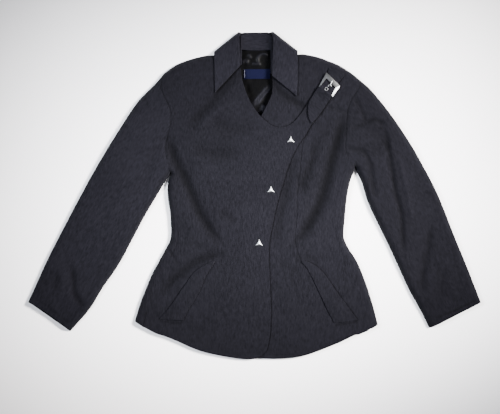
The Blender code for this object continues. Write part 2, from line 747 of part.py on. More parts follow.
def build_right_centre(group, princess, shoulder):
    """The wrap panel: a body up to the guide line, and the band that carries the tongue."""
    rows = len(princess) - 1
    neck_rows = 12
    tongue_rows = 9
    body_rows = rows - neck_rows
    guide = even(WRAP_GUIDE, body_rows)
    right_side = np.vstack([even(NECKLINE_RIGHT, neck_rows), guide[1:]])
    hem = between_x(HEM_RIGHT, princess[-1][0], guide[-1][0], len(shoulder) - 1)
    hem[0], hem[-1] = princess[-1], guide[-1]
    body = coons(princess, shoulder, right_side, hem)
    band_left = np.vstack([even(TONGUE_EDGE[::-1], tongue_rows), guide[1:]])
    band_right = even(CLOSING_EDGE, tongue_rows + body_rows)
    end = even(TONGUE_END, 5)
    band_hem = between_x(HEM_RIGHT, guide[-1][0], band_right[-1][0], 5)
    band_hem[0], band_hem[-1] = guide[-1], band_right[-1]
    band = coons(band_left, end, band_right, band_hem)
    panel("front_right_center", [body, band], top_height, CLOTH_WALL, "suiting", group, rim_height)


def build_left_centre(group, princess, shoulder):
    """The panel underneath, from the hidden underlap edge to the princess seam."""
    underlap = even(UNDERLAP_EDGE, len(princess) - 1)
    hem = between_x(HEM_LEFT, underlap[-1][0], princess[-1][0], len(shoulder) - 1)
    hem[0], hem[-1] = underlap[-1], princess[-1]
    panel("front_left_center", [coons(underlap, shoulder, princess, hem)],
          under_height, CLOTH_WALL, "suiting", group, rim_height)


def floor_armhole(points):
    """The armhole where it is sewn to the back, with fewer points."""
    armhole = edge_both(points, CHEST_ROWS)
    return armhole[[0, 4, 6, 8, 10, 13, 17]]


def build_back(group):
    """One flat piece from the neck to the hem."""
    right = np.vstack([floor_armhole(ARMHOLE_RIGHT), even(SIDE_RIGHT, 12)[1:]])
    left = np.vstack([floor_armhole(ARMHOLE_LEFT), even(SIDE_LEFT, 12)[1:]])
    top = np.vstack([
        even(SHOULDER_RIGHT, 6)[::-1], even(BACK_NECK, 6)[1:-1], even(SHOULDER_LEFT, 6),
    ])
    hem_points = HEM_RIGHT[:-2] + ((45, -347),) + HEM_LEFT[3:]
    bottom = between_x(hem_points, right[-1][0], left[-1][0], len(top) - 1)
    bottom[0], bottom[-1] = right[-1], left[-1]
    bottom[1:-1, 1] += BACK_HEM_LIFT
    panel("back", [coons(right, top, left, bottom)], back_height, CLOTH_WALL, "suiting", group)


def build_sleeve(group, side, armhole_points, outer_points, inner_points, seam_points):
    """A two-piece sleeve: the top sleeve, and the under sleeve that turns under the arm."""
    armhole = edge_both(armhole_points, CHEST_ROWS)
    cuff_outer, cuff_inner = np.array(outer_points[-1]), np.array(inner_points[-1])
    cuff_seam = cuff_outer + CUFF_SEAM_SHARE * (cuff_inner - cuff_outer)
    seam = even((tuple(armhole[FOREARM_START]),) + seam_points + (tuple(cuff_seam),), SLEEVE_ROWS)
    outer = even(outer_points, SLEEVE_ROWS)
    inner = even(inner_points, SLEEVE_ROWS)

    width = np.linalg.norm(cuff_seam - cuff_outer)
    steps = np.concatenate([EDGE_STEPS, np.linspace(EDGE_STEPS[-1], width, 6)[1:]])
    top_cuff = cuff_outer + (steps / width)[:, None] * (cuff_seam - cuff_outer)
    top_plan = coons(outer, armhole[:FOREARM_START + 1], seam, top_cuff)
    panel("sleeve_%s_top" % side, [top_plan], top_height, CLOTH_WALL, "suiting", group, rim_height)

    width = np.linalg.norm(cuff_inner - cuff_seam)
    ends = width - np.array(EDGE_STEPS[::-1])
    count = len(armhole) - 1 - FOREARM_START - len(EDGE_STEPS)
    steps = np.concatenate([np.linspace(0, ends[0], count + 2)[:-1], ends])
    under_cuff = cuff_seam + (steps / width)[:, None] * (cuff_inner - cuff_seam)
    plan = drawn_in(coons(seam, armhole[FOREARM_START:], inner, under_cuff))
    upper = np.dstack([plan, under_sleeve_height(plan[..., 0], plan[..., 1])])
    upper[:, -1, 2] = 0.0
    ground_top = floor_armhole(armhole_points)
    ground_cuff = cuff_outer + shares(ground_top)[:, None] * (cuff_inner - cuff_outer)
    ground = drawn_in(coons(outer, ground_top, inner, ground_cuff))[:, ::-1]
    ground[:, 0] = plan[:, -1]
    lower = np.dstack([ground, np.zeros(ground.shape[:2])])

    points, quads = welded([upper, lower])
    normals = surface_normals(under_sleeve_height, points[:, 0], points[:, 1])
    upper_points, upper_quads = welded([upper])
    rims = sheet_normals(upper_points, upper_quads)
    rims *= np.sign(rims[:, 2].sum())
    count = len(upper_points)
    on_edge = outline_gap(upper_points[:, 0], upper_points[:, 1]) < 0.6
    normals[:count][on_edge] = rims[on_edge]
    normals[count:] = (0, 0, -1)
    walls = points - CLOTH_WALL * normals
    walls[:, 2] = np.maximum(walls[:, 2], CLOTH_WALL)
    walled("sleeve_%s_under" % side, points, walls, quads, "suiting", group)


def drawn_in(grid):
    """Draw a plan grid in from its own four sides by the seam inset."""
    result = grid.copy()
    for side, inner in ((0, 1), (-1, -2)):
        step = grid[inner] - grid[side]
        tangent = np.gradient(grid[side], axis=0)
        normal = np.stack([-tangent[:, 1], tangent[:, 0]], axis=1)
        normal /= np.linalg.norm(normal, axis=1)[:, None]
        result[side] += normal * np.sign((normal * step).sum()) * SEAM_INSET
        step = grid[:, inner] - grid[:, side]
        tangent = np.gradient(grid[:, side], axis=0)
        normal = np.stack([-tangent[:, 1], tangent[:, 0]], axis=1)
        normal /= np.linalg.norm(normal, axis=1)[:, None]
        result[:, side] += normal * np.sign((normal * step).sum()) * SEAM_INSET
    return result


def build_collar_fall(group):
    """One strip: a pointed wing, the turn over the shoulder, the back band, and back again."""
    table = np.array([row["roll"] + row["edge"] + (row["level"],) for row in COLLAR_FALL])
    path = dense(table)
    along = lengths_along(path)
    turns = [along[np.linalg.norm(path - table[k], axis=1).argmin()] for k in COLLAR_TURNS]
    stops = [0.0] + turns + [along[-1]]
    steps = [
        np.linspace(start, stop, count + 1)[:-1]
        for start, stop, count in zip(stops, stops[1:], COLLAR_FALL_ROWS)
    ]
    rows = at_lengths(path, np.concatenate(steps + [along[-1:]]))
    share = np.linspace(1, 0, COLLAR_FALL_COLUMNS + 1)
    grid = np.zeros((len(rows), len(share), 3))
    for k, w in enumerate(share):
        x = rows[:, 0] + w * (rows[:, 2] - rows[:, 0])
        y = rows[:, 1] + w * (rows[:, 3] - rows[:, 1])
        lift = full_height(x, y) + COLLAR_LIFT + COLLAR_ROLL_LIFT * (1 - w)
        grid[:, k] = np.stack([x, y, lift * np.maximum(rows[:, 4], 0)], axis=1)
    along = np.gradient(grid[:, -1], axis=0)
    across = grid[:, -1] - grid[:, -2]
    across /= np.linalg.norm(across, axis=1)[:, None]
    normal = np.cross(across, along)
    normal /= np.linalg.norm(normal, axis=1)[:, None]
    if normal[0][2] < 0:
        normal = -normal
    curl = [grid[:, -1] + out * across - down * normal for out, down in COLLAR_CURL]
    grid = np.concatenate([grid] + [ring[:, None] for ring in curl], axis=1)
    grid[..., 2] = np.maximum(grid[..., 2], 0.0)
    points, quads = welded([grid])
    normals = sheet_normals(points, quads)
    if normals[0][2] < 0:
        normals = -normals
    inner = points - CLOTH_WALL * normals
    inner[:, 2] = np.maximum(inner[:, 2], 0.0)
    walled("collar_fall", points, inner, quads, "suiting", group)


def build_collar_stand(group):
    """The band inside the neck, whose ends rise to the roll of the wings."""
    steps = np.array([0.0, STAND_LEG_WIDTH / 2, STAND_LEG_WIDTH])
    middle = np.linspace(STAND_RIGHT_X + STAND_LEG_WIDTH, STAND_LEFT_X - STAND_LEG_WIDTH, 8)
    xs = np.concatenate([STAND_RIGHT_X + steps[:-1], middle, (STAND_LEFT_X - steps[:-1])[::-1]])
    gap = np.minimum(xs - STAND_RIGHT_X, STAND_LEFT_X - xs)
    tops = np.interp(gap, *np.array(STAND_TOP).T)
    share = np.linspace(0, 1, 5)[:, None]
    band = np.dstack([
        np.broadcast_to(xs, (5, len(xs))), tops + share * (STAND_SEAM_Y - tops),
    ])
    legs = []
    for start, sign, end in (
        (STAND_RIGHT_X, 1, STAND_LEG_END_RIGHT), (STAND_LEFT_X, -1, STAND_LEG_END_LEFT),
    ):
        leg_x = np.sort(start + sign * steps)
        leg_y = np.linspace(STAND_SEAM_Y, end, 5)
        legs.append(np.dstack(np.meshgrid(leg_x, leg_y)))
    panel("collar_stand", [band] + legs, stand_height, STAND_WALL, "suiting_inside", group)


def build_neck_inside(group):
    """Lining and label inside the neck."""
    left = even(LINING_RIGHT_EDGE, 12)
    right = even(LINING_LEFT_EDGE, 12)
    grid = coons(left, even((LINING_RIGHT_EDGE[0], LINING_LEFT_EDGE[0]), 6), right,
                 even((LINING_RIGHT_EDGE[-1], LINING_LEFT_EDGE[-1]), 6))
    panel("lining_back", [grid], lining_height, LINING_WALL, "lining", group)
    corners = [np.array(corner, dtype=float) for corner in LABEL_CORNERS]
    label = coons(even((corners[0], corners[3]), 2), even((corners[0], corners[1]), 3),
                  even((corners[1], corners[2]), 2), even((corners[3], corners[2]), 3))
    panel("neck_label", [label], label_height, LABEL_WALL, "label", group)


def build_pocket_welts(group):
    """Curved welts that lie on the seam between the front panels."""
    for side, outer_points, inner_points in (
        ("right", WELT_RIGHT_OUTER, WELT_RIGHT_INNER), ("left", WELT_LEFT_OUTER, WELT_LEFT_INNER),
    ):
        outer = even(outer_points, 14)
        inner = even(inner_points, 14)
        grid = coons(outer, even((outer[0], inner[0]), 3), inner, even((outer[-1], inner[-1]), 3))
        panel("pocket_welt_%s" % side, [grid], welt_height, WELT_WALL, "suiting", group)


def build_strap(group):
    """Shoulder strap, from the shoulder seam to its pointed end."""
    right = even(STRAP_RIGHT_EDGE, STRAP_ROWS)
    left = even(STRAP_LEFT_EDGE, STRAP_ROWS)
    grid = coons(right, even((right[0], left[0]), STRAP_COLUMNS), left,
                 even((right[-1], left[-1]), STRAP_COLUMNS))
    panel("shoulder_strap", [grid], strap_height, STRAP_WALL, "suiting", group)


def height_at(function, x, y):
    return float(function(np.array([x], dtype=float), np.array([y], dtype=float))[0])


def build_buckle(group):
    """Flat-bar frame, the loop of cloth that holds its near bar, and the prong."""
    bm = bmesh.new()
    rings = {}
    for edge in ("outer", "inner"):
        for level in (0.0, BUCKLE_THICK):
            rings[edge, level] = [
                bm.verts.new(Vector((
                    *corner[edge],
                    height_at(top_height, *corner["outer"]) + corner["lift"] + level,
                )) * MM)
                for corner in BUCKLE_CORNERS
            ]
    order = [("outer", 0.0), ("outer", BUCKLE_THICK), ("inner", BUCKLE_THICK), ("inner", 0.0)]
    for first, second in zip(order, order[1:] + order[:1]):
        for k in range(4):
            n = (k + 1) % 4
            bm.faces.new((rings[first][k], rings[first][n], rings[second][n], rings[second][k]))
    frame = closed_mesh("buckle_frame", bm, "metal", group)
    bevel = frame.modifiers.new("worn edges", "BEVEL")
    bevel.width = 0.5 * MM
    bevel.segments = 2
    bevel.limit_method = "ANGLE"

    near_left, near_right = BUCKLE_CORNERS[2], BUCKLE_CORNERS[3]
    bar = Vector(near_right["outer"]) - Vector(near_left["outer"])
    bar.normalize()
    centre = sum((Vector(c[e]) for c in (near_left, near_right) for e in ("outer", "inner")),
                 Vector((0, 0))) / 4
    across = Vector((-bar.y, bar.x))
    bar_width = abs((Vector(near_left["inner"]) - Vector(near_left["outer"])).dot(across))
    base = height_at(top_height, *centre) + near_left["lift"] + BUCKLE_THICK / 2
    half_in = (bar_width / 2 + TAB_CLEARANCE + 0.6, BUCKLE_THICK / 2 + TAB_CLEARANCE)
    half_out = (half_in[0] + TAB_WALL, half_in[1] + TAB_WALL)
    bm = bmesh.new()
    loops = {}
    for name, (half_w, half_h) in (("in", half_in), ("out", half_out)):
        for end in (-0.5, 0.5):
            loops[name, end] = [
                bm.verts.new(Vector((
                    centre.x + bar.x * end * TAB_WIDTH + across.x * sw * half_w,
                    centre.y + bar.y * end * TAB_WIDTH + across.y * sw * half_w,
                    base + sh * half_h,
                )) * MM)
                for sw, sh in ((-1, -1), (1, -1), (1, 1), (-1, 1))
            ]
    order = [("in", -0.5), ("out", -0.5), ("out", 0.5), ("in", 0.5)]
    for first, second in zip(order, order[1:] + order[:1]):
        for k in range(4):
            n = (k + 1) % 4
            bm.faces.new((loops[first][k], loops[first][n], loops[second][n], loops[second][k]))
    closed_mesh("buckle_tab", bm, "suiting", group)


def build_eyelets(group):
    """Ring and barrel of each eyelet, seated on the strap."""
    for name, (x, y) in EYELETS:
        bm = bmesh.new()
        crown = (EYELET_OUTER + EYELET_INNER) / 2
        profile = (
            (EYELET_INNER, 0.0), (EYELET_OUTER, 0.0), (EYELET_OUTER - EYELET_OUTER_EASE, EYELET_SIDE),
            (crown, EYELET_HEIGHT), (EYELET_INNER + EYELET_INNER_EASE, EYELET_SIDE),
        )
        rings = []
        for k in range(EYELET_SEGMENTS):
            angle = 2 * math.pi * k / EYELET_SEGMENTS
            ring = []
            for radius, z in profile:
                ring_x = x + radius * math.cos(angle)
                ring_y = y + radius * math.sin(angle)
                seat = height_at(strap_height, ring_x, ring_y) + LAY_GAP
                ring.append(bm.verts.new(Vector((ring_x, ring_y, seat + z)) * MM))
            rings.append(ring)
        for k in range(EYELET_SEGMENTS):
            this, other = rings[k], rings[(k + 1) % EYELET_SEGMENTS]
            for j in range(len(profile)):
                n = (j + 1) % len(profile)
                bm.faces.new((this[j], other[j], other[n], this[n]))
        closed_mesh(name, bm, "metal_dark", group)


def build_snaps(group):
    """Three-cornered caps, domed, on the edge of the right front."""
    for name, (x, y) in SNAPS:
        bm = bmesh.new()
        base = height_at(top_height, x, y) + SNAP_SEAT
        rings = []
        for share, z in SNAP_PROFILE:
            ring = []
            for k in range(SNAP_SEGMENTS):
                angle = math.pi / 2 + 2 * math.pi * k / SNAP_SEGMENTS
                corner = 0.5 + 0.5 * math.cos(3 * (angle - math.pi / 2))
                radius = SNAP_RADIUS * (SNAP_WAIST + (1 - SNAP_WAIST) * corner ** SNAP_CORNER) * share
                ring.append(bm.verts.new(Vector((
                    x + radius * math.cos(angle), y + radius * math.sin(angle), base + z,
                )) * MM))
            rings.append(ring)
        for lower, upper in zip(rings, rings[1:]):
            for k in range(SNAP_SEGMENTS):
                n = (k + 1) % SNAP_SEGMENTS
                bm.faces.new((lower[k], lower[n], upper[n], upper[k]))
        top = bm.verts.new(Vector((x, y, base + SNAP_HEIGHT)) * MM)
        bottom = bm.verts.new(Vector((x, y, base)) * MM)
        for k in range(SNAP_SEGMENTS):
            n = (k + 1) % SNAP_SEGMENTS
            bm.faces.new((rings[-1][k], rings[-1][n], top))
            bm.faces.new((rings[0][n], rings[0][k], bottom))
        closed_mesh(name, bm, "metal", group)


def build_prong(group):
    """The prong, from the fastened eyelet to the far bar."""
    points = []
    for x, y, above in PRONG_PATH:
        points.append(Vector((x, y, height_at(top_height, x, y) + above)) * MM)
    curve = bpy.data.curves.new("buckle_prong", "CURVE")
    curve.dimensions = "3D"
    curve.bevel_depth = PRONG_RADIUS * MM
    curve.bevel_resolution = 2
    curve.use_fill_caps = True
    spline = curve.splines.new("POLY")
    spline.points.add(len(points) - 1)
    for item, point in zip(spline.points, points):
        item.co = (*point, 1.0)
    made = bpy.data.objects.new("buckle_prong", curve)
    curve.materials.append(finish("metal"))
    group.objects.link(made)


def build():
    clear_scene()
    group = garment_collection()
    build_back(group)
    build_fronts(group)
    build_sleeve(group, "right", ARMHOLE_RIGHT, SLEEVE_OUTER_RIGHT, SLEEVE_INNER_RIGHT,
                 FOREARM_SEAM_RIGHT)
    build_sleeve(group, "left", ARMHOLE_LEFT, SLEEVE_OUTER_LEFT, SLEEVE_INNER_LEFT,
                 FOREARM_SEAM_LEFT)
    build_collar_fall(group)
    build_collar_stand(group)
    build_neck_inside(group)
    build_pocket_welts(group)
    build_strap(group)
    build_buckle(group)
    build_eyelets(group)
    build_prong(group)
    build_snaps(group)


build()
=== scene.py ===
"""Looks of the blazer laid flat: fine cloth shells on the solids, satin lining, label and metal trim.

Tables are in millimetres unless they say metres, in the frame's axes: +X is the wearer's left, and
+Y runs up to the collar. Right and left are the wearer's.
"""
import math

import bmesh
import bpy
import numpy as np
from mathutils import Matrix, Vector, noise
from mathutils.bvhtree import BVHTree
from mathutils.geometry import delaunay_2d_cdt


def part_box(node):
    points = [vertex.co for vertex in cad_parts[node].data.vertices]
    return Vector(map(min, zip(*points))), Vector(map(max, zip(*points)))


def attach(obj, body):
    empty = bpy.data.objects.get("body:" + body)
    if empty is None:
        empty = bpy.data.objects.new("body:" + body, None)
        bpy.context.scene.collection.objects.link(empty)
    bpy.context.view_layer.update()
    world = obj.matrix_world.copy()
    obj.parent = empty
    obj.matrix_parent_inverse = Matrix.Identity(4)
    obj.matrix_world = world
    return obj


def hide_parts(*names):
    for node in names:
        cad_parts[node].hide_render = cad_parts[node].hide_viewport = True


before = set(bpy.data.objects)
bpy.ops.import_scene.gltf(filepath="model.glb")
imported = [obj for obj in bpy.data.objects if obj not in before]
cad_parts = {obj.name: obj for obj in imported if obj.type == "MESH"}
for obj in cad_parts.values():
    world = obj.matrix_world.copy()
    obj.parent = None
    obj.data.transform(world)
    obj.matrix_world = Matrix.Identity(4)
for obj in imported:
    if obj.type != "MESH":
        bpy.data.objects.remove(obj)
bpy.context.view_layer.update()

MM = 0.001
BODY = "root"

# The least divisor, and how many pairs of a point and a segment are compared at once
TINY = 1e-9
PAIRS_AT_ONCE = 4000000

# How the solids are read: welding distance in metres, the angle that ends a smooth skin, the angle
# of a corner, the least share of the widest skin, and the height under which a rim is on the ground
WELD = 1e-6
SKIN_ANGLE = math.radians(50)
CORNER_ANGLE = math.radians(28)
LEAST_SKIN = 0.1
LOW_RIM = 7.0

# How finely the cloth is sampled: an even field, with rings just inside each outline
SPACING = 3.0
LINING_STEP = 1.6
FOLD_STEP = 3.0
CURVE_DETAIL = 12
EDGE_RINGS = (0.35, 1.0, 2.1, 3.6)
RING_KEEP = 0.93
FIELD_KEEP = 0.55
ROW_RATIO = 0.866
MERGE_REACH = 1e-4

# The upper cloth's height field
GRID_STEP = 4.0
FIELD_MARGIN = 20
RAY_LEVEL = 100
BASE_BLUR = 8.0
FAR_BLUR = 3
KERNEL_REACH = 3
TURNED_ENOUGH = 0.6
TRUSTED_WEIGHT = 0.15

# How the cloth turns over the outline, in a wall of this thickness
SHELL_WALL = 1.5
TURN_RADIUS = 13.0
TURN_SLACK = 0.35

# Seams: a narrow groove with a low ridge beside it, which fade towards the outline. Neighbours
# overlap a little, and past the near reach a gap isn't measured.
SEAM_DROP = 0.7
SEAM_WIDTH = 1.3
SEAM_RIDGE = 0.25
RIDGE_AT = 5.0
RIDGE_WIDTH = 3.0
SEAM_START = 1.0
SEAM_FADE = 8.0
SEAM_OVERLAP = 0.9
SEAM_REACH = 3.0
NEAR_REACH = 12.0
FAR_AWAY = 120.0

# How dark the painted shade along a seam's line is and its greatest strength, then its strength in a
# sleeve and below the wrapped edge, which is this node's; below that edge the line stands for the
# edge's shadow.
LINE_DARK = 0.42
LINE_MOST = 2.0
SLEEVE_SEAM = 0.15
WRAP_LINE = 1.8
WRAP_NODE = "front_right_center"

# How strongly a piece's edge marks the cloth that it lies on, with a groove and a line of painted shade
TRIM_LINES = {"collar_fall": 1.0, "shoulder_strap": 1.0, "pocket_welt_right": 0.6,
              "pocket_welt_left": 1.7}

# The right cuff's upper cloth draws back from the lower, most in the middle
CUFF_LINE = ((-484, -228), (-394, -291))
CUFF_NEAR = 4.0
CUFF_BOW = 5.0
CUFF_ROUND = 0.7

# Soft unevenness of loose cloth: wavelength, height and seed
SEED_STEP = 37.0
GROUND_RISE = 0.25
LONG_WAVES = (70.0, 1.5, 1)
SHORT_WAVES = (26.0, 0.45, 2)
GROUND_WAVES = (45.0, GROUND_RISE, 3)
LINING_WAVES = (14.0, 0.5, 5)

# The suiting of each part: the grain's angle from the garment's length, and how light it is. The
# lightness is painted light: one suiting made lighter on the collar, stand and right sleeve and darker
# on the left sleeve, for how light falls on each. The angles follow the sleeves, whose threads run down
# the arm.
CLOTHS = {
    "body": (0, 1.0),
    "sleeve_right": (27, 1.22),
    "sleeve_left": (-25, 0.9),
    "collar": (0, 1.42),
    "stand": (90, 1.5),
    "strap": (-36, 1.05),
}

# Cloth panels, with the layer that gives the height. The tubes also have a sheet on the ground.
PANELS = (
    {"node": "front_right_center", "layer": "over", "cloth": "body"},
    {"node": "front_right_side", "layer": "over", "cloth": "body"},
    {"node": "side_right", "layer": "over", "cloth": "body"},
    {"node": "front_left_center", "layer": "under", "cloth": "body"},
    {"node": "front_left_side", "layer": "under", "cloth": "body"},
    {"node": "side_left", "layer": "under", "cloth": "body"},
    {"node": "sleeve_right_top", "layer": "over", "cloth": "sleeve_right"},
    {"node": "sleeve_right_under", "layer": "over", "cloth": "sleeve_right"},
    {"node": "sleeve_left_top", "layer": "under", "cloth": "sleeve_left"},
    {"node": "sleeve_left_under", "layer": "under", "cloth": "sleeve_left"},
)
TUBES = ("sleeve_right_under", "sleeve_left_under")

# Small cloth pieces: node, suiting, and how far the edges are eased
TRIM_CLOTH = (
    ("collar_fall", "collar", 0.7),
    ("collar_stand", "stand", 0.7),
    ("pocket_welt_right", "body", 1.1),
    ("pocket_welt_left", "body", 1.1),
    ("shoulder_strap", "strap", 0.7),
    ("buckle_tab", "strap", 1.3),
)

# Creases, given one by one. A trough has a negative depth; width is half its breadth, and dark is the
# share of the cloth's colour that it loses to painted shade. A crease fades over the taper's share of
# its length at either end.
FOLD_TAPER = 0.22
# A crease's dark value is painted shade in the cloth's colour; a negative one paints a highlight along
# a ridge.
FOLDS = (
    {"at": "right waist trough", "depth": -5.5, "width": 9, "dark": 0.56,
     "path": ((-194, 141), (-181, 107), (-166, 70), (-144, 27), (-123, -25), (-103, -61), (-82, -91),
              (-60, -117))},
    {"at": "left waist trough", "depth": -6.0, "width": 11, "dark": 0.64,
     "path": ((200, 197), (187, 154), (174, 109), (163, 70), (152, 25), (137, -22), (116, -61),
              (90, -100), (73, -121))},
    {"at": "left chest trough", "depth": -2.4, "width": 10, "dark": 0.36,
     "path": ((131, 124), (124, 81), (105, 29), (99, -9))},
    {"at": "beside the wrap edge", "depth": -1.6, "width": 10, "dark": 0.32,
     "path": ((92, 98), (79, 59), (64, -5), (49, -70), (41, -117))},
    {"at": "over right pocket", "depth": -3.8, "width": 9, "dark": 0.42,
     "path": ((-50, -117), (-86, -128), (-116, -138), (-146, -158), (-177, -184), (-202, -216))},
    {"at": "over left pocket", "depth": -1.8, "width": 7, "dark": 0.2,
     "path": ((81, -143), (109, -132), (142, -151))},
    {"at": "below right collar wing", "depth": -2.6, "width": 10, "dark": 0.36,
     "path": ((-30, 279), (-54, 240), (-88, 199), (-116, 171), (-146, 132))},
    {"at": "below left collar wing", "depth": -2.6, "width": 8, "dark": 0.44,
     "path": ((17, 270), (38, 240), (62, 214), (90, 197), (124, 175))},
    {"at": "right chest, upper dent", "depth": -1.6, "width": 14, "dark": 0.2,
     "path": ((-95, 152), (-69, 154), (-41, 141), (2, 147))},
    {"at": "right chest, lower dent", "depth": -1.8, "width": 15, "dark": 0.26,
     "path": ((-138, 107), (-106, 94), (-69, 85), (-26, 98))},
    {"at": "right chest, soft hollow", "depth": -0.8, "width": 20, "dark": 0.14,
     "path": ((-92, 160), (-63, 122), (-92, 84))},
    {"at": "left upper arm, soft hollow", "depth": -0.8, "width": 17, "dark": 0.16,
     "path": ((226, 172), (270, 124), (250, 72))},
    {"at": "left chest, soft hollow", "depth": -0.6, "width": 18, "dark": 0.12,
     "path": ((166, 176), (140, 110), (116, 40), (92, -20))},
    {"at": "light arc on the chest", "depth": 1.4, "width": 6, "dark": -0.1,
     "path": ((-125, 124), (-103, 158), (-65, 184), (-17, 193))},
    {"at": "midriff dent", "depth": -1.8, "width": 9, "dark": 0.22,
     "path": ((-75, -29), (-56, -46), (-35, -55))},
    {"at": "strap pull", "depth": -2.0, "width": 4, "dark": 0.26,
     "path": ((152, 190), (170, 184), (191, 178), (206, 173))},
    {"at": "left front pull", "depth": 1.5, "width": 4, "dark": -0.08,
     "path": ((133, 115), (122, 92), (109, 66), (99, 44))},
    {"at": "right cuff fold", "depth": -3.0, "width": 6, "dark": 0.42,
     "path": ((-389, -143), (-385, -184), (-383, -207), (-372, -227), (-357, -248))},
    {"at": "right cuff dent", "depth": -1.8, "width": 10, "dark": 0.26,
     "path": ((-435, -156), (-422, -177), (-426, -203))},
    {"at": "right elbow fold", "depth": -1.7, "width": 8, "dark": 0.12,
     "path": ((-189, 124), (-213, 87), (-228, 44), (-239, -1))},
    {"at": "right sleeve head ease", "depth": -1.7, "width": 5, "dark": 0.14,
     "path": ((-220, 240), (-230, 210), (-232, 180))},
    {"at": "left sleeve head ease", "depth": -2.0, "width": 4, "dark": 0.24,
     "path": ((210, 214), (221, 193), (232, 167), (236, 145))},
    {"at": "left armhole crease", "depth": -2.6, "width": 4, "dark": 0.3,
     "path": ((200, 143), (226, 147), (253, 160), (284, 145))},
    {"at": "left armhole pinch", "depth": -2.0, "width": 4, "dark": 0.24,
     "path": ((266, 120), (279, 107), (284, 94))},
    {"at": "left upper arm diagonal", "depth": -2.8, "width": 5, "dark": 0.36,
     "path": ((187, 111), (206, 98), (230, 94), (245, 68), (251, 29), (260, -18))},
    {"at": "left sleeve long fold", "depth": -4.0, "width": 5, "dark": 0.44,
     "path": ((262, 167), (279, 128), (288, 77), (299, 12), (312, -42), (316, -95), (318, -143))},
    {"at": "left elbow ridge", "depth": 2.0, "width": 5, "dark": -0.1,
     "path": ((301, 98), (318, 34), (329, -20), (335, -63))},
    {"at": "left forearm fold", "depth": -3.0, "width": 7, "dark": 0.3,
     "path": ((374, -57), (370, -108), (359, -164), (355, -216))},
    {"at": "left cuff dent", "depth": -1.6, "width": 9, "dark": 0.16,
     "path": ((382, -143), (402, -181), (391, -220))},
    {"at": "waist corner", "depth": -1.4, "width": 3, "dark": 0.3,
     "path": ((-196, -91), (-183, -113), (-170, -134), (-157, -156))},
    {"at": "wing shadow at the neck", "depth": -1.2, "width": 3, "dark": 0.6,
     "path": ((-5, 304), (-30, 276), (-48, 257), (-65, 236), (-91, 203))},
    {"at": "below the waist, left front", "depth": -1.2, "width": 8, "dark": 0.14,
     "path": ((47, -143), (75, -156), (105, -160))},
)

# Stitched lines, which keep their depth nearly from end to end; their dark value is painted shade in
# the groove
STITCH_TAPER = 0.06
STITCH_LINES = (
    {"at": "left cuff hem", "depth": -0.6, "width": 2.4, "dark": 0.4,
     "path": ((386, -262), (432, -243), (475, -221))},
    {"at": "right cuff hem", "depth": -0.4, "width": 2.4, "dark": 0.22,
     "path": ((-469, -220), (-441, -236), (-413, -258), (-392, -272))},
    {"at": "left welt, lower end", "depth": -0.5, "width": 2.2, "dark": 0.4,
     "path": ((172, -276), (201, -273), (220, -269))},
    {"at": "right welt, lower end", "depth": -0.5, "width": 2.2, "dark": 0.35,
     "path": ((-203, -266), (-184, -271), (-155, -273))},
)

# Where the photograph's seams all but vanish: within this reach of the path only a share is left
FAINT_SHARE = 0.2
FAINT_SEAMS = (
    (14.0, ((210, 66), (195, -9), (180, -85), (193, -123), (221, -169), (241, -218), (249, -285))),
    (14.0, ((-177, 261), (-146, 221), (-131, 180), (-118, 137), (-110, 96), (-99, 55), (-93, 21),
            (-89, -59), (-88, -123))),
    (14.0, ((-178, 60), (-168, 20), (-176, -40), (-200, -140), (-225, -230))),
    (4.5, ((103, -143), (120, -166), (129, -187), (141, -212), (155, -242), (171, -274))),
    (10.0, ((205, -280), (213, -288), (218, -300))),
    (10.0, ((-191, -283), (-196, -292), (-200, -302))),
)

# Soft pleats of the satin inside the neck. Where dark is negative the satin's colour is lightened as a
# painted highlight along the pleat, and where it is positive darkened as painted shade. The skin below
# them is sought from the level.
LINING_LEVEL = 6
LINING_FOLDS = (
    {"at": "curl", "depth": 1.7, "width": 2.8, "dark": -6.0,
     "path": ((9.2, 280.6), (6.7, 289.8), (11.8, 299.3), (22.6, 301.9), (30.5, 295.2))},
    {"at": "small curl", "depth": 1.4, "width": 3.0, "dark": -5.0,
     "path": ((-26.0, 278.6), (-22.6, 287.2), (-15.3, 287.2), (-18.7, 279.3))},
    {"at": "low ridge", "depth": 1.2, "width": 3.0, "dark": -5.0,
     "path": ((-6.7, 281.9), (3.9, 279.9), (14.6, 280.6))},
    {"at": "short pleat", "depth": 1.2, "width": 3.0, "dark": -5.0,
     "path": ((-14.2, 302.3), (-6.7, 291.1))},
    {"at": "strip, upper edge", "depth": 1.0, "width": 1.8, "dark": -1.8,
     "path": ((30.5, 236.7), (12.7, 216.3), (-4.1, 196.7))},
    {"at": "strip, lower edge", "depth": 1.2, "width": 1.8, "dark": -1.8,
     "path": ((37.2, 231.3), (19.1, 209.8), (2.6, 187.5))},
    {"at": "strip", "depth": 0.7, "width": 5.5, "dark": -5.0,
     "path": ((38.0, 238.0), (15.9, 213.1), (-8.0, 184.0))},
    {"at": "strip, low end", "depth": 0.3, "width": 5.0, "dark": -0.5,
     "path": ((14.0, 211.0), (4.0, 198.0), (-3.0, 189.0))},
    {"at": "loose end", "depth": 1.5, "width": 5.0, "dark": -12.0,
     "path": ((23.0, 194.0), (16.0, 182.0), (11.0, 172.0))},
    {"at": "left hollow", "depth": -0.5, "width": 6.0, "dark": 0.5,
     "path": ((-17.4, 239.9), (-13.1, 222.7), (-4.5, 207.7))},
)

# The bar of thread at the label's end, sewn to and fro
TACK_INSET = 1.7
TACK_STEP = 0.75
TACK_REACH = 0.45
TACK_THREAD = 0.35

# Eyelets: share of the outer radius and of the height at each ring, from the foot over to the hole
EYELET_HOLE = 0.46
EYELET_PROFILE = ((1.0, 0.0), (1.0, 0.3), (0.9, 0.75), (0.75, 1.0), (0.58, 0.85),
                  (EYELET_HOLE, 0.5), (EYELET_HOLE, 0.1))
EYELET_SEGMENTS = 40

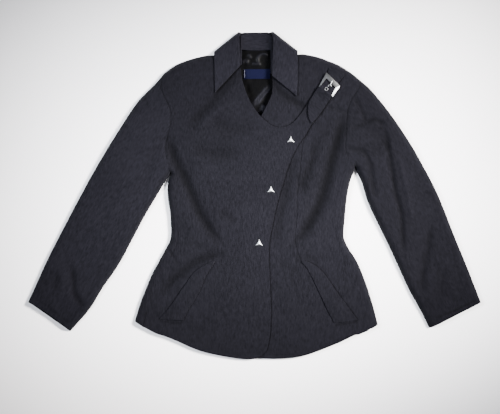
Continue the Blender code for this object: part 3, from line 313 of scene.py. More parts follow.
# Snap caps: share of the radius and of the height at each ring, from the foot up. The waist is how
# far the outline draws in between its corners, and the foot is about how far the lower corners lie
# below the middle, as a share of the upper corner's reach.
SNAP_PROFILE = ((0.96, 0.0), (1.0, 0.08), (0.98, 0.22), (0.88, 0.42), (0.7, 0.62), (0.48, 0.79),
                (0.27, 0.91), (0.1, 0.98), (0.02, 1.0))
SNAP_SEGMENTS = 60
SNAP_CORNERS = 3
SNAP_WAIST = 1.5
SNAP_POINT = 0.95
SNAP_FOOT = 0.56
SNAPS = ("snap_upper", "snap_middle", "snap_lower")

# The buckle's near side bar starts here, measured along the far bar; from here the frame has the bright
# painted reflection
BUCKLE_ALONG = (0.69, -0.72)
BUCKLE_SIDE_FROM = -44.5

# How far the edges of the buckle, prong and label are eased, and in how many steps. Neighbouring
# triangles are joined first, within these angles in radians.
BUCKLE_EASE = 0.8
PRONG_EASE = 0.15
LABEL_EASE = 0.2
EASE_STEPS = 3
JOIN_TILT = 0.7
JOIN_SHAPE = 0.9

# The dark and the light end of each material's colour, in linear values, and the noise's values at
# the ends where they aren't 0 and 1
CLOTH_COLORS = ((0.0013, 0.0013, 0.0020), (0.0054, 0.0052, 0.0074))
SATIN_COLORS = ((0.0002, 0.0002, 0.0003), (0.0009, 0.0009, 0.0012))
THREAD_COLORS = ((0.05, 0.055, 0.08), (0.14, 0.145, 0.19))
LABEL_COLORS = ((0.0009, 0.0011, 0.0054), (0.0026, 0.0031, 0.0140))
METAL_COLORS = ((0.50, 0.51, 0.54), (0.74, 0.75, 0.78))
CLOTH_PLACES = (0.38, 0.62)
SATIN_PLACES = (0.3, 0.7)

# Shader values that hold all over a material
FINISHES = {
    "suiting": {"Roughness": 0.9, "Specular IOR Level": 0.03, "Sheen Weight": 0.03,
                "Sheen Roughness": 0.45, "Sheen Tint": (0.75, 0.78, 0.9, 1)},
    "satin": {"Roughness": 0.45, "Specular IOR Level": 0.03},
    "thread": {"Roughness": 0.7},
    "label": {"Roughness": 0.8, "Specular IOR Level": 0.03},
    "paper": {"Roughness": 0.9, "Base Color": (0.91, 0.895, 0.93, 1)},
}

# The suiting's colour is mixed from these noises: waves a metre across and along the grain, detail,
# roughness, and share of the mix. The stripe also raises the surface.
SUITING_NOISES = {
    "stripe": ((460, 95, 95), 3.0, 0.6, 0.42),
    "streak": ((1100, 160, 160), 2.0, 0.6, 0.28),
    "fleck": ((1500, 1500, 1500), 1.0, 0.5, 0.20),
    "cloud": ((9, 9, 9), 3.0, 0.6, 0.10),
}
STRIPE_RELIEF = 1.2
TWILL_SCALE = (1000, 620, 1000)
TWILL_WAVES = {"Scale": 0.35, "Distortion": 1.2, "Detail": 1.0}

# Threads of the other cloths and the metal's brushing: angle in degrees and waves a metre. The
# label's and the metal's noises are rougher.
SATIN_THREAD = (0, (1500, 120, 120))
TACK_TWIST = (30, (2500, 600, 2500))
LABEL_WEFT = (0, (300, 2600, 300))
BRUSHING = (-47, (60, 2200, 60))
ROUGH_NOISE = 0.6

# Relief of each surface: strength, and depth in metres
SUITING_BUMP = (0.35, 0.00025)
SATIN_BUMP = (0.15, 0.0001)
LABEL_BUMP = (0.4, 0.0002)
BRUSHING_DEPTH = 0.0001

# Metals: how rough, how deeply brushed, and how bright. The buckle frame's two metals are dark and
# bright copies of one metal: painted shade on the far and left bars, and a painted reflection of the
# lamp on the near side bar.
METALS = {
    "bright_metal": (0.5, 0.05, 0.8),
    "eyelet_metal": (0.6, 0.02, 0.2),
    "dark_metal": (0.3, 0.02, 0.12),
    "prong_metal": (0.6, 0.02, 1.0),
    "brushed_painted_shade_metal": (0.6, 0.35, 0.07),
    "painted_glint_metal": (0.6, 0.1, 1.1),
}

# Studio, in metres and watts. Each lamp has a name, place, target, power and colour.
LAMPS = (
    ("right_lamp", (1.25, 0.35, 1.35), (0.06, -0.03, 0), 18.5, (1.0, 0.97, 0.93)),
    ("left_lamp", (-1.25, 0.15, 1.45), (0.07, 0.02, 0), 6.8, (0.90, 0.95, 1.0)),
)
LAMP_SIDE = 0.7
LAMP_SPREAD = math.radians(28)
FLOOR_SIDE = 6.0
FLOOR_LEVEL = -0.0004
SURROUND_COLOR = (0.93, 0.95, 1.0, 1)
SURROUND_STRENGTH = 0.17

# The photograph's frame is 500 by 414 pixels, and one pixel is 2.14 mm on the floor. The camera's
# height and clipping distance are in metres.
IMAGE_WIDTH = 500
IMAGE_HEIGHT = 414
PIXEL = 2.141
ORIGIN_PIXEL = (254.45, 195.25)
CAMERA_HEIGHT = 2.4
CAMERA_CLIP = 20
SENSOR = 36.0


def onto_segments(points, start, step):
    """The nearest of many segments to each point in plan: the distance, which one, and where on it."""
    squared = np.maximum((step ** 2).sum(axis=1), TINY ** 2)
    found = []
    for chunk in np.array_split(points[:, :2], max(1, len(points) * len(step) // PAIRS_AT_ONCE)):
        offset = chunk[:, None] - start[None]
        t = np.clip((offset * step).sum(axis=2) / squared, 0, 1)
        gap = np.linalg.norm(offset - t[..., None] * step, axis=2)
        best = gap.argmin(axis=1)
        rows = np.arange(len(chunk))
        found.append((gap[rows, best], best, t[rows, best]))
    return [np.concatenate(column) for column in zip(*found)]


def nearest(points, path):
    """Distance from each point to a path in plan, with the share of the path where it is nearest."""
    path = np.asarray(path, dtype=float)[:, :2]
    step = np.diff(path, axis=0)
    lengths = np.linalg.norm(step, axis=1)
    along = np.concatenate([[0.0], np.cumsum(lengths)])
    gap, best, t = onto_segments(points, path[:-1], step)
    return gap, (along[best] + t * lengths[best]) / along[-1]


def segment_gap(points, segments):
    """Distance from points to a set of separate segments, and the height at the nearest place."""
    start = np.array([s[0] for s in segments])
    step = np.array([s[1] for s in segments]) - start
    gap, best, t = onto_segments(points, start[:, :2], step[:, :2])
    return gap, start[best, 2] + t * step[best, 2]


def inside(points, loop):
    """Whether each point lies inside a closed loop, in plan."""
    x, y = points[:, 0], points[:, 1]
    result = np.zeros(len(points), dtype=bool)
    for (x1, y1), (x2, y2) in zip(loop[:, :2], np.roll(loop[:, :2], -1, axis=0)):
        if y1 != y2:
            result ^= ((y1 > y) != (y2 > y)) & (x < (x2 - x1) * (y - y1) / (y2 - y1) + x1)
    return result


def closed(loop):
    """The loop with its first point again at its end."""
    return np.vstack([loop, loop[:1]])


def edge_gap(points, loop):
    """Distance from each point to a closed loop, in plan."""
    return nearest(points, closed(loop))[0]


def bell(gap, width):
    """1 in the middle, and fading to both sides."""
    return np.exp(-(gap / width) ** 2)


def smooth(t):
    """0 to 1 with a soft start and end."""
    t = np.clip(t, 0, 1)
    return t * t * (3 - 2 * t)


def curve(points, spacing):
    """A smooth curve through the points, in equal steps of about this length."""
    knots = np.array(points, dtype=float)
    if len(knots) > 2:
        ends = np.vstack([2 * knots[0] - knots[1], knots, 2 * knots[-1] - knots[-2]])
        steps = []
        for before, start, stop, after in zip(ends, ends[1:], ends[2:], ends[3:]):
            span = np.linalg.norm(stop - start)
            into = (stop - before) * span / (span + np.linalg.norm(start - before))
            out_of = (after - start) * span / (span + np.linalg.norm(after - stop))
            t = np.linspace(0, 1, CURVE_DETAIL, endpoint=False)[:, None]
            steps.append(
                start * (2 * t ** 3 - 3 * t ** 2 + 1) + into * (t ** 3 - 2 * t ** 2 + t)
                + stop * (3 * t ** 2 - 2 * t ** 3) + out_of * (t ** 3 - t ** 2)
            )
        knots = np.vstack(steps + [knots[-1:]])
    along = np.concatenate([[0.0], np.cumsum(np.linalg.norm(np.diff(knots, axis=0), axis=1))])
    wanted = np.linspace(0, along[-1], max(2, round(along[-1] / spacing) + 1))
    return np.stack([np.interp(wanted, along, column) for column in knots.T], axis=1)


def skins(node):
    """The smooth skins of a CAD solid: points in mm, triangles and upward area of each."""
    bm = bmesh.new()
    bm.from_mesh(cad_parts[node].data)
    bmesh.ops.remove_doubles(bm, verts=bm.verts, dist=WELD)
    bmesh.ops.triangulate(bm, faces=bm.faces)
    bm.faces.ensure_lookup_table()
    bm.verts.ensure_lookup_table()
    bm.normal_update()
    left = set(range(len(bm.faces)))
    found = []
    while left:
        stack, region = [left.pop()], []
        while stack:
            face = bm.faces[stack.pop()]
            region.append(face)
            for edge in face.edges:
                for other in edge.link_faces:
                    if other.index in left and face.normal.angle(other.normal, 0) < SKIN_ANGLE:
                        left.discard(other.index)
                        stack.append(other.index)
        numbers = {}
        triangles = []
        for face in region:
            triangles.append([numbers.setdefault(v.index, len(numbers)) for v in face.verts])
        points = np.array([bm.verts[k].co for k in numbers]) / MM
        upward = sum(face.normal.z * face.calc_area() for face in region)
        found.append({"points": points, "triangles": np.array(triangles), "up": upward / MM ** 2})
    bm.free()
    return found


def top_skin(node):
    """The node's highest skin that faces up."""
    found = skins(node)
    widest = max(s["up"] for s in found)
    upward = [s for s in found if s["up"] > LEAST_SKIN * widest]
    return max(upward, key=lambda s: s["points"][:, 2].max())


def tree_of(skin):
    """A search tree of the skin's triangles."""
    return BVHTree.FromPolygons(skin["points"].tolist(), skin["triangles"].tolist())


def seated(skin, plan, level):
    """Height of the skin at its nearest place to each plan point at this level."""
    tree = tree_of(skin)
    return np.array([tree.find_nearest(Vector((*p, level)))[0].z for p in plan])


def loop_of(skin):
    """The skin's longest open boundary, in order, in mm."""
    edges = {}
    for triangle in skin["triangles"]:
        for k in range(3):
            edges[triangle[k], triangle[(k + 1) % 3]] = True
    after = {a: b for a, b in edges if (b, a) not in edges}
    loops = []
    while after:
        loop, here = [], next(iter(after))
        while here in after:
            loop.append(here)
            here = after.pop(here)
        loops.append(loop)
    return skin["points"][max(loops, key=len)]


def rounded_loop(loop, spacing):
    """A loop's points, evenly spaced on smooth curves between its corners."""
    before, after = loop - np.roll(loop, 1, axis=0), np.roll(loop, -1, axis=0) - loop
    turn = np.abs(np.arctan2(
        before[:, 0] * after[:, 1] - before[:, 1] * after[:, 0],
        (before[:, :2] * after[:, :2]).sum(axis=1),
    ))
    corners = np.flatnonzero(turn > CORNER_ANGLE)
    if len(corners) == 0:
        corners = np.array([0])
    loop = np.roll(loop, -corners[0], axis=0)
    corners = np.append(corners - corners[0], len(loop))
    around = closed(loop)
    runs = [curve(around[a:b + 1], spacing)[:-1] for a, b in zip(corners, corners[1:])]
    return np.vstack(runs)


def low_runs(loop):
    """The stretches of a loop where the cloth turns over onto the ground."""
    around = closed(loop)
    low = (around[:-1, 2] < LOW_RIM) & (around[1:, 2] < LOW_RIM)
    return [around[k:k + 2] for k in np.flatnonzero(low)]


TOP_SKINS = {p["node"]: top_skin(p["node"]) for p in PANELS}
LOOPS = {node: rounded_loop(loop_of(skin), SPACING) for node, skin in TOP_SKINS.items()}
TRIM_LOOPS = {node: rounded_loop(loop_of(top_skin(node)), SPACING) for node in TRIM_LINES}
RIMS = [run for node, loop in LOOPS.items() for run in low_runs(loop)]
FRONT_RIMS = [run for node, loop in LOOPS.items() if node not in TUBES for run in low_runs(loop)]


def turned(gap):
    """0 on the outline, 1 where the cloth has finished turning over it."""
    short = np.clip(1 - np.maximum(gap - TURN_SLACK, 0) / TURN_RADIUS, 0, 1)
    return np.sqrt(1 - short ** 2)


def blurred(grid, sigma):
    """Gaussian blur of a grid along both axes."""
    reach = int(KERNEL_REACH * sigma) + 1
    kernel = np.exp(-0.5 * (np.arange(-reach, reach + 1) / sigma) ** 2)
    kernel /= kernel.sum()
    for axis in (0, 1):
        grid = np.apply_along_axis(lambda line: np.convolve(line, kernel, mode="same"), axis, grid)
    return grid


class HeightField:
    """Height of the upper cloth without its turned outline, smoothed from the solids' skins."""

    def __init__(self, nodes):
        self.low = np.array([min(LOOPS[n][:, k].min() for n in nodes) - FIELD_MARGIN for k in (0, 1)])
        high = np.array([max(LOOPS[n][:, k].max() for n in nodes) + FIELD_MARGIN for k in (0, 1)])
        self.size = np.ceil((high - self.low) / GRID_STEP).astype(int) + 1
        xs = self.low[0] + GRID_STEP * np.arange(self.size[0])
        ys = self.low[1] + GRID_STEP * np.arange(self.size[1])
        cells = np.stack(np.meshgrid(xs, ys, indexing="ij"), axis=2).reshape(-1, 2)
        gap, rim = segment_gap(cells, RIMS)
        raw = np.full(len(cells), np.nan)
        for node in nodes:
            skin = TOP_SKINS[node]
            tree = tree_of(skin)
            box_low, box_high = skin["points"].min(axis=0), skin["points"].max(axis=0)
            near = (cells >= box_low[:2]).all(axis=1) & (cells <= box_high[:2]).all(axis=1)
            for k in np.flatnonzero(near):
                hit = tree.ray_cast(Vector((*cells[k], RAY_LEVEL)), Vector((0, 0, -1)))
                if hit[0]:
                    raw[k] = hit[0].z
        share = turned(gap)
        known = ~np.isnan(raw) & (share > TURNED_ENOUGH)
        full = np.where(known, rim + (raw - rim) / np.maximum(share, TURNED_ENOUGH), 0.0)
        sigma = BASE_BLUR / GRID_STEP
        close, weight = self.mean(known, full, sigma)
        far = self.mean(known, full, FAR_BLUR * sigma)[0]
        trust = smooth(weight / TRUSTED_WEIGHT)
        self.grid = close * trust + far * (1 - trust)

    def mean(self, known, full, sigma):
        """Blurred mean of the known heights, and how much is known round each cell."""
        weight = blurred(known.astype(float).reshape(self.size), sigma)
        return blurred(full.reshape(self.size), sigma) / np.maximum(weight, TINY), weight

    def at(self, points):
        """The height at each point, between the grid's cells."""
        place = (points[:, :2] - self.low) / GRID_STEP
        cell = np.clip(np.floor(place).astype(int), 0, self.size - 2)
        share = np.clip(place - cell, 0, 1)
        i, j = cell.T
        u, v = share.T
        g = self.grid
        return (
            g[i, j] * (1 - u) * (1 - v) + g[i + 1, j] * u * (1 - v)
            + g[i, j + 1] * (1 - u) * v + g[i + 1, j + 1] * u * v
        )


FIELDS = {
    layer: HeightField([p["node"] for p in PANELS if p["layer"] == layer])
    for layer in ("over", "under")
}


def creased(points, folds, taper):
    """What the named creases add to the height, and the share of the colour that their painted shade
    and painted highlights leave.
    """
    height, painted_shading = np.zeros(len(points)), np.ones(len(points))
    for fold in folds:
        gap, share = nearest(points, curve(fold["path"], FOLD_STEP))
        amount = smooth(np.minimum(share, 1 - share) / taper) * bell(gap, fold["width"])
        height += fold["depth"] * amount
        painted_shading *= 1 - fold["dark"] * amount
    return height, painted_shading


def uneven(points, wavelength, amount, seed):
    """Soft unevenness of cloth that lies loose."""
    offset = SEED_STEP * seed
    return amount * np.array([
        noise.noise(Vector((x / wavelength + offset, y / wavelength, offset))) for x, y in points[:, :2]
    ])


def plan_points(loop, spacing=SPACING):
    """Points for a fine panel: its loop, rings just inside it, and an even field beyond."""
    spots = [loop[:, :2]]
    along = np.roll(loop[:, :2], -1, axis=0) - np.roll(loop[:, :2], 1, axis=0)
    normal = np.stack([-along[:, 1], along[:, 0]], axis=1)
    normal /= np.linalg.norm(normal, axis=1)[:, None]
    for ring in EDGE_RINGS:
        for side in (1, -1):
            moved = loop[:, :2] + side * ring * normal
            gap = edge_gap(moved, loop)
            spots.append(moved[inside(moved, loop) & (gap > RING_KEEP * ring)])
    low, high = loop[:, :2].min(axis=0), loop[:, :2].max(axis=0)
    field = []
    for k, y in enumerate(np.arange(low[1], high[1], spacing * ROW_RATIO)):
        xs = np.arange(low[0] + (k % 2) * spacing / 2, high[0], spacing)
        field.append(np.stack([xs, np.full(len(xs), y)], axis=1))
    field = np.vstack(field)
    field = field[inside(field, loop)]
    spots.append(field[edge_gap(field, loop) > EDGE_RINGS[-1] + FIELD_KEEP * spacing])
    return np.vstack(spots)


def triangulated(loop, points):
    """Triangles that fill the loop, through all the points."""
    border = [list(range(len(loop)))]
    made = delaunay_2d_cdt([Vector(p) for p in points], [], border, 1, MERGE_REACH)
    return np.array([tuple(v) for v in made[0]]), [tuple(face) for face in made[2]]


def drawn_back(loop):
    """The loop with the right cuff's edge bowed inward."""
    line = np.array(CUFF_LINE, dtype=float)
    gap, share = nearest(loop, line)
    along = (line[1] - line[0]) / np.linalg.norm(line[1] - line[0])
    inward = np.array([-along[1], along[0]])
    bow = CUFF_BOW * np.sin(math.pi * share) ** CUFF_ROUND * (gap < CUFF_NEAR)
    moved = loop.copy()
    moved[:, :2] += bow[:, None] * inward
    return moved


def widened(panel):
    """The panel's loop, drawn out a little into its neighbours, so that no seam lets light through."""
    loop = LOOPS[panel["node"]]
    along = np.roll(loop, -1, axis=0) - np.roll(loop, 1, axis=0)
    outward = np.stack([along[:, 1], -along[:, 0]], axis=1)
    outward /= np.maximum(np.linalg.norm(outward, axis=1), TINY)[:, None]
    x, y = loop[:, 0], loop[:, 1]
    turning = np.sign((x * np.roll(y, -1) - y * np.roll(x, -1)).sum())
    gap = np.full(len(loop), np.inf)
    for other in PANELS:
        if other is not panel and other["layer"] == panel["layer"]:
            gap = np.minimum(gap, edge_gap(loop, LOOPS[other["node"]]))
    share = turning * (gap < SEAM_REACH) * smooth(segment_gap(loop, RIMS)[0] / SEAM_REACH - 1)
    wide = loop.copy()
    wide[:, :2] += SEAM_OVERLAP * share[:, None] * outward
    return drawn_back(wide) if "sleeve_right" in panel["node"] else wide


def near_gap(points, loop):
    """Distance to a loop in plan, measured only for the points near its box."""
    low, high = loop[:, :2].min(axis=0) - NEAR_REACH, loop[:, :2].max(axis=0) + NEAR_REACH
    close = ((points[:, :2] > low) & (points[:, :2] < high)).all(axis=1)
    gap = np.full(len(points), FAR_AWAY)
    if close.any():
        gap[close] = edge_gap(points[close], loop)
    return gap


def seam_lines(panel, points):
    """How far each point lies in a seam or beside the edge of a piece on top, and on a seam's ridge."""
    line, ridge = np.zeros(len(points)), np.zeros(len(points))
    for other in PANELS:
        beneath = panel["layer"] == "under" and other["node"] == WRAP_NODE
        if other is panel or not (beneath or other["layer"] == panel["layer"]):
            continue
        share = WRAP_LINE if beneath else 1.0
        if "sleeve" in panel["node"] and "sleeve" in other["node"]:
            share = SLEEVE_SEAM
        gap = near_gap(points, LOOPS[other["node"]])
        line = np.maximum(line, share * bell(gap, SEAM_WIDTH))
        if not beneath:
            ridge = np.maximum(ridge, share * bell(gap - RIDGE_AT, RIDGE_WIDTH))
    for node, share in TRIM_LINES.items():
        gap = near_gap(points, TRIM_LOOPS[node])
        line = np.maximum(line, share * bell(gap, SEAM_WIDTH))
    shown = np.ones(len(points))
    for reach, path in FAINT_SEAMS:
        away = nearest(points, curve(path, FOLD_STEP))[0] / reach
        shown = np.minimum(shown, FAINT_SHARE + (1 - FAINT_SHARE) * smooth(away - 1))
    return line * shown, ridge * shown


def panel_surface(panel, points):
    """Height of a cloth panel's outer side over its plan points, and the painted shade and highlight
    that its colour is multiplied by.
    """
    node = panel["node"]
    gap = segment_gap(points, RIMS)[0]
    rim = np.full(len(points), SHELL_WALL) if node in TUBES else segment_gap(points, FRONT_RIMS)[1]
    folds, painted_shading = creased(points, FOLDS, FOLD_TAPER)
    stitches, stitch_painted_shading = creased(points, STITCH_LINES, STITCH_TAPER)
    full = FIELDS[panel["layer"]].at(points) + folds
    full += uneven(points, *LONG_WAVES) + uneven(points, *SHORT_WAVES)
    height = rim + (full - rim) * turned(gap)
    line, ridge = seam_lines(panel, points)
    seams = (SEAM_DROP * line - SEAM_RIDGE * ridge) * smooth((gap - SEAM_START) / SEAM_FADE)
    height += stitches - seams
    # The seams' lines and the edges of pieces on top are painted shade in the colour, beside the groove
    # that they sink.
    return height, painted_shading * stitch_painted_shading * (1 - LINE_DARK * np.minimum(line, LINE_MOST))


def linked(name, data):
    """A new object of this data in the scene."""
    made = bpy.data.objects.new(name, data)
    bpy.context.scene.collection.objects.link(made)
    return made


def set_painted_shading(mesh, values):
    """Stores each point's painted shading, which the cloth's colour is multiplied by: painted shade in
    creases, seams and grooves, and painted highlights on ridges and pleats.
    """
    mesh.attributes.new("painted_shading", "FLOAT", "POINT").data.foreach_set("value", values)


def new_mesh_object(name, points, faces, painted_shading=None):
    """A smooth mesh object from points in mm, with its painted shading."""
    mesh = bpy.data.meshes.new(name)
    mesh.from_pydata([tuple(p) for p in np.asarray(points) * MM], [], faces)
    mesh.update()
    mesh.shade_smooth()
    set_painted_shading(mesh, np.ones(len(points)) if painted_shading is None else painted_shading)
    return linked(name, mesh)


def on_part(made, node=None):
    """Puts a piece on the part, in place of a CAD node if it stands for one."""
    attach(made, BODY)
    if node:
        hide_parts(node)


def box_of(node):
    """The lowest and highest corner of a CAD node, in mm."""
    return [np.array(corner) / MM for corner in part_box(node)]


def facing(points, faces, up):
    """The faces, all turned to face up, or all down."""
    a, b, c = (points[k] for k in faces[0][:3])
    turn = (b[0] - a[0]) * (c[1] - a[1]) - (b[1] - a[1]) * (c[0] - a[0])
    return faces if (turn > 0) == up else [face[::-1] for face in faces]


def ground_plate(node):
    """The cloth of a node that lies on the ground and faces down: points and faces."""
    skin = min(skins(node), key=lambda s: s["up"])
    loop = rounded_loop(loop_of(skin), 2 * SPACING)
    plan, faces = triangulated(loop, plan_points(loop))
    seat = seated(skin, plan, 0)
    rise = GROUND_RISE + uneven(plan, *GROUND_WAVES)
    return np.column_stack([plan, seat + np.maximum(rise, 0)]), facing(plan, faces, False)


def cloth_piece(name, node, points, faces, material, painted_shading=None):
    """A cloth shell with its lining side, standing for a CAD node."""
    made = new_mesh_object(name, points, faces, painted_shading)
    shell = made.modifiers.new("wall", "SOLIDIFY")
    shell.thickness = SHELL_WALL * MM
    shell.offset = -1
    shell.material_offset = 1
    made.data.materials.append(material)
    made.data.materials.append(satin())
    on_part(made, node)


def make_panel(panel):
    """A fine cloth shell over one CAD panel, with its sheet on the ground if it has one."""
    node = panel["node"]
    loop = widened(panel)
    plan, faces = triangulated(loop, plan_points(loop))
    height, painted_shading = panel_surface(panel, plan)
    points = np.column_stack([plan, height])
    faces = facing(points, faces, True)
    if node in TUBES:
        low_points, low_faces = ground_plate(node)
        shift = len(points)
        points = np.vstack([points, low_points])
        painted_shading = np.concatenate([painted_shading, np.ones(len(low_points))])
        faces = faces + [tuple(k + shift for k in face) for face in low_faces]
    cloth_piece("cloth_" + node, node, points, faces, suiting(panel["cloth"]), painted_shading=painted_shading)


def make_back():
    """The back, which lies on the ground under the fronts."""
    points, faces = ground_plate("back")
    cloth_piece("cloth_back", "back", points, faces, suiting("body"))


def make_lining():
    """The satin inside the neck, with its pleats."""
    skin = top_skin("lining_back")
    loop = rounded_loop(loop_of(skin), LINING_STEP)
    plan, faces = triangulated(loop, plan_points(loop, LINING_STEP))
    seat = seated(skin, plan, LINING_LEVEL)
    # The pleats paint highlights and shade into the satin's colour.
    pleats, painted_shading = creased(plan, LINING_FOLDS, FOLD_TAPER)
    points = np.column_stack([plan, seat + pleats + uneven(plan, *LINING_WAVES)])
    faces = facing(points, faces, True)
    cloth_piece("satin_back", "lining_back", points, faces, satin(), painted_shading)


def make_label_tack():
    """The bar of pale thread that holds the label's end."""
    low, high = box_of("neck_label")
    tree = tree_of(top_skin("neck_label"))
    data = bpy.data.curves.new("label_tack", "CURVE")
    data.dimensions = "3D"
    data.bevel_depth = TACK_THREAD * MM
    data.bevel_resolution = 2
    data.use_fill_caps = True
    ys = np.arange(low[1] + TACK_INSET, high[1] - TACK_INSET, TACK_STEP)
    spline = data.splines.new("POLY")
    spline.points.add(len(ys) - 1)
    for k, (item, y) in enumerate(zip(spline.points, ys)):
        x = low[0] + TACK_INSET + TACK_REACH * (-1) ** k
        z = tree.find_nearest(Vector((x, y, high[2])))[0].z + TACK_THREAD / 2
        item.co = (x * MM, y * MM, z * MM, 1)
    data.materials.append(pale_thread())
    on_part(linked("label_tack", data))


def angles_round(count):
    """Equal angles round a circle."""
    return np.linspace(0, 2 * math.pi, count, endpoint=False)


def metal_cap(node, center, reach, profile, metal):
    """A closed metal form on a CAD node's place: its outline's reach at equal angles, on each ring."""
    low, high = box_of(node)
    count = len(reach)
    points, faces = [], []
    for share, rise in profile:
        level = low[2] + rise * (high[2] - low[2])
        for angle, far in zip(angles_round(count), reach):
            points.append((center[0] + far * share * math.cos(angle),
                           center[1] + far * share * math.sin(angle), level))
    for ring in range(len(profile) - 1):
        a, b = ring * count, (ring + 1) * count
        for k in range(count):
            n = (k + 1) % count
            faces.append((a + k, a + n, b + n, b + k))
    faces.append(tuple(range(count))[::-1])
    faces.append(tuple(range(len(points) - count, len(points))))
    made = new_mesh_object("metal_" + node, points, faces)
    made.data.materials.append(metal)
    on_part(made, node)
    return made


def make_eyelet(node, metal):
    """A rolled metal ring round a hole, whose floor is a black satin disc standing in for the shade
    inside it.
    """
    low, high = box_of(node)
    reach = np.full(EYELET_SEGMENTS, (high[0] - low[0]) / 2)
    made = metal_cap(node, (low + high) / 2, reach, EYELET_PROFILE, metal)
    # The hole's floor gets the black satin: painted shade.
    made.data.materials.append(satin())
    made.data.polygons[len(made.data.polygons) - 1].material_index = 1


def make_snap(node, metal):
    """A domed cap with soft corners, one of them up."""
    low, high = box_of(node)
    radius = (high[1] - low[1]) / (1 + SNAP_FOOT)
    center = ((low[0] + high[0]) / 2, high[1] - radius)
    side = np.abs(np.sin(SNAP_CORNERS / 2 * (angles_round(SNAP_SEGMENTS) - math.pi / 2)))
    metal_cap(node, center, radius / (1 + SNAP_WAIST * side ** SNAP_POINT), SNAP_PROFILE, metal)


def new_material(name, finish=None):
    """A node material with its tree and its Principled shader, which has this finish."""
    made = bpy.data.materials.new(name)
    made.use_nodes = True
    shader = made.node_tree.nodes["Principled BSDF"]
    for key, value in FINISHES.get(finish, {}).items():
        shader.inputs[key].default_value = value
    return made, made.node_tree, shader


def add_node(tree, kind, settings=None, inputs=None):
    """A shader node with its settings and input values."""
    made = tree.nodes.new(kind)
    for key, value in (settings or {}).items():
        setattr(made, key, value)
    for key, value in (inputs or {}).items():
        made.inputs[key].default_value = value
    return made


def stretched(tree, angle, scale):
    """Object coordinates turned to the grain and stretched, in units of one over metres."""
    place = add_node(tree, "ShaderNodeTexCoord")
    turn = add_node(tree, "ShaderNodeMapping", {"vector_type": "POINT"},
                    {"Rotation": (0, 0, math.radians(angle))})
    size = add_node(tree, "ShaderNodeMapping", {"vector_type": "POINT"}, {"Scale": scale})
    tree.links.new(place.outputs["Object"], turn.inputs["Vector"])
    tree.links.new(turn.outputs["Vector"], size.inputs["Vector"])
    return size.outputs["Vector"]


def noise_of(tree, vector, detail=2.0, roughness=0.5):
    """Noise between 0 and 1."""
    made = add_node(tree, "ShaderNodeTexNoise", None,
                    {"Scale": 1.0, "Detail": detail, "Roughness": roughness})
    tree.links.new(vector, made.inputs["Vector"])
    return made.outputs["Fac"]


def times_plus(tree, value, factor, rest):
    """The value times a number, plus the rest, which is a number or another output."""
    made = add_node(tree, "ShaderNodeMath", {"operation": "MULTIPLY_ADD"})
    tree.links.new(value, made.inputs[0])
    made.inputs[1].default_value = factor
    if isinstance(rest, float):
        made.inputs[2].default_value = rest
    else:
        tree.links.new(rest, made.inputs[2])
    return made.outputs["Value"]


def ramp_of(tree, factor, colors, shade=1.0, places=(0.0, 1.0)):
    """A colour from the dark to the light end, as the factor goes from one place to the other."""
    ramp = tree.nodes.new("ShaderNodeValToRGB")
    for element, place, color in zip(ramp.color_ramp.elements, places, colors):
        element.position = place
        element.color = (*[c * shade for c in color], 1)
    tree.links.new(factor, ramp.inputs["Fac"])
    return ramp.outputs["Color"]


def with_painted_shading(tree, color):
    """The colour times the painted shade and highlight that the mesh stores."""
    painted_shading = add_node(tree, "ShaderNodeAttribute", {"attribute_name": "painted_shading"})
    scaled = add_node(tree, "ShaderNodeVectorMath", {"operation": "SCALE"})
    tree.links.new(color, scaled.inputs[0])
    tree.links.new(painted_shading.outputs["Fac"], scaled.inputs["Scale"])
    return scaled.outputs["Vector"]


def raised(tree, shader, height, strength, depth):
    """Gives the shader a fine relief of this height."""
    bump = add_node(tree, "ShaderNodeBump", None, {"Strength": strength, "Distance": depth})
    tree.links.new(height, bump.inputs["Height"])
    tree.links.new(bump.outputs["Normal"], shader.inputs["Normal"])


def suiting(name):
    """Fine wool suiting: grey-navy threads with a faint stripe along the grain and a twill rib."""
    found = bpy.data.materials.get("suiting_" + name)
    if found:
        return found
    # The part's lightness is painted light, scaling the suiting's colour.
    grain, shade = CLOTHS[name]
    made, tree, shader = new_material("suiting_" + name, "suiting")
    mix, noises = 0.0, {}
    for at, (scale, detail, roughness, share) in SUITING_NOISES.items():
        noises[at] = noise_of(tree, stretched(tree, grain, scale), detail, roughness)
        mix = times_plus(tree, noises[at], share, mix)
    color = ramp_of(tree, mix, CLOTH_COLORS, shade, CLOTH_PLACES)
    tree.links.new(with_painted_shading(tree, color), shader.inputs["Base Color"])
    twill = add_node(tree, "ShaderNodeTexWave", {"wave_type": "BANDS", "bands_direction": "DIAGONAL"},
                     TWILL_WAVES)
    tree.links.new(stretched(tree, grain, TWILL_SCALE), twill.inputs["Vector"])
    relief = times_plus(tree, noises["stripe"], STRIPE_RELIEF, twill.outputs["Fac"])
    raised(tree, shader, relief, *SUITING_BUMP)
    return made


def satin():
    """Black satin lining with soft broad highlights, partly from its gloss and partly painted into its
    colour by the stored painted shading.
    """
    found = bpy.data.materials.get("satin_lining")
    if found:
        return found
    made, tree, shader = new_material("satin_lining", "satin")
    thread = noise_of(tree, stretched(tree, *SATIN_THREAD))
    color = ramp_of(tree, thread, SATIN_COLORS, places=SATIN_PLACES)
    tree.links.new(with_painted_shading(tree, color), shader.inputs["Base Color"])
    raised(tree, shader, thread, *SATIN_BUMP)
    return made


def pale_thread():
    """Off-white sewing thread."""
    made, tree, shader = new_material("pale_thread", "thread")
    twist = noise_of(tree, stretched(tree, *TACK_TWIST))
    tree.links.new(ramp_of(tree, twist, THREAD_COLORS), shader.inputs["Base Color"])
    return made


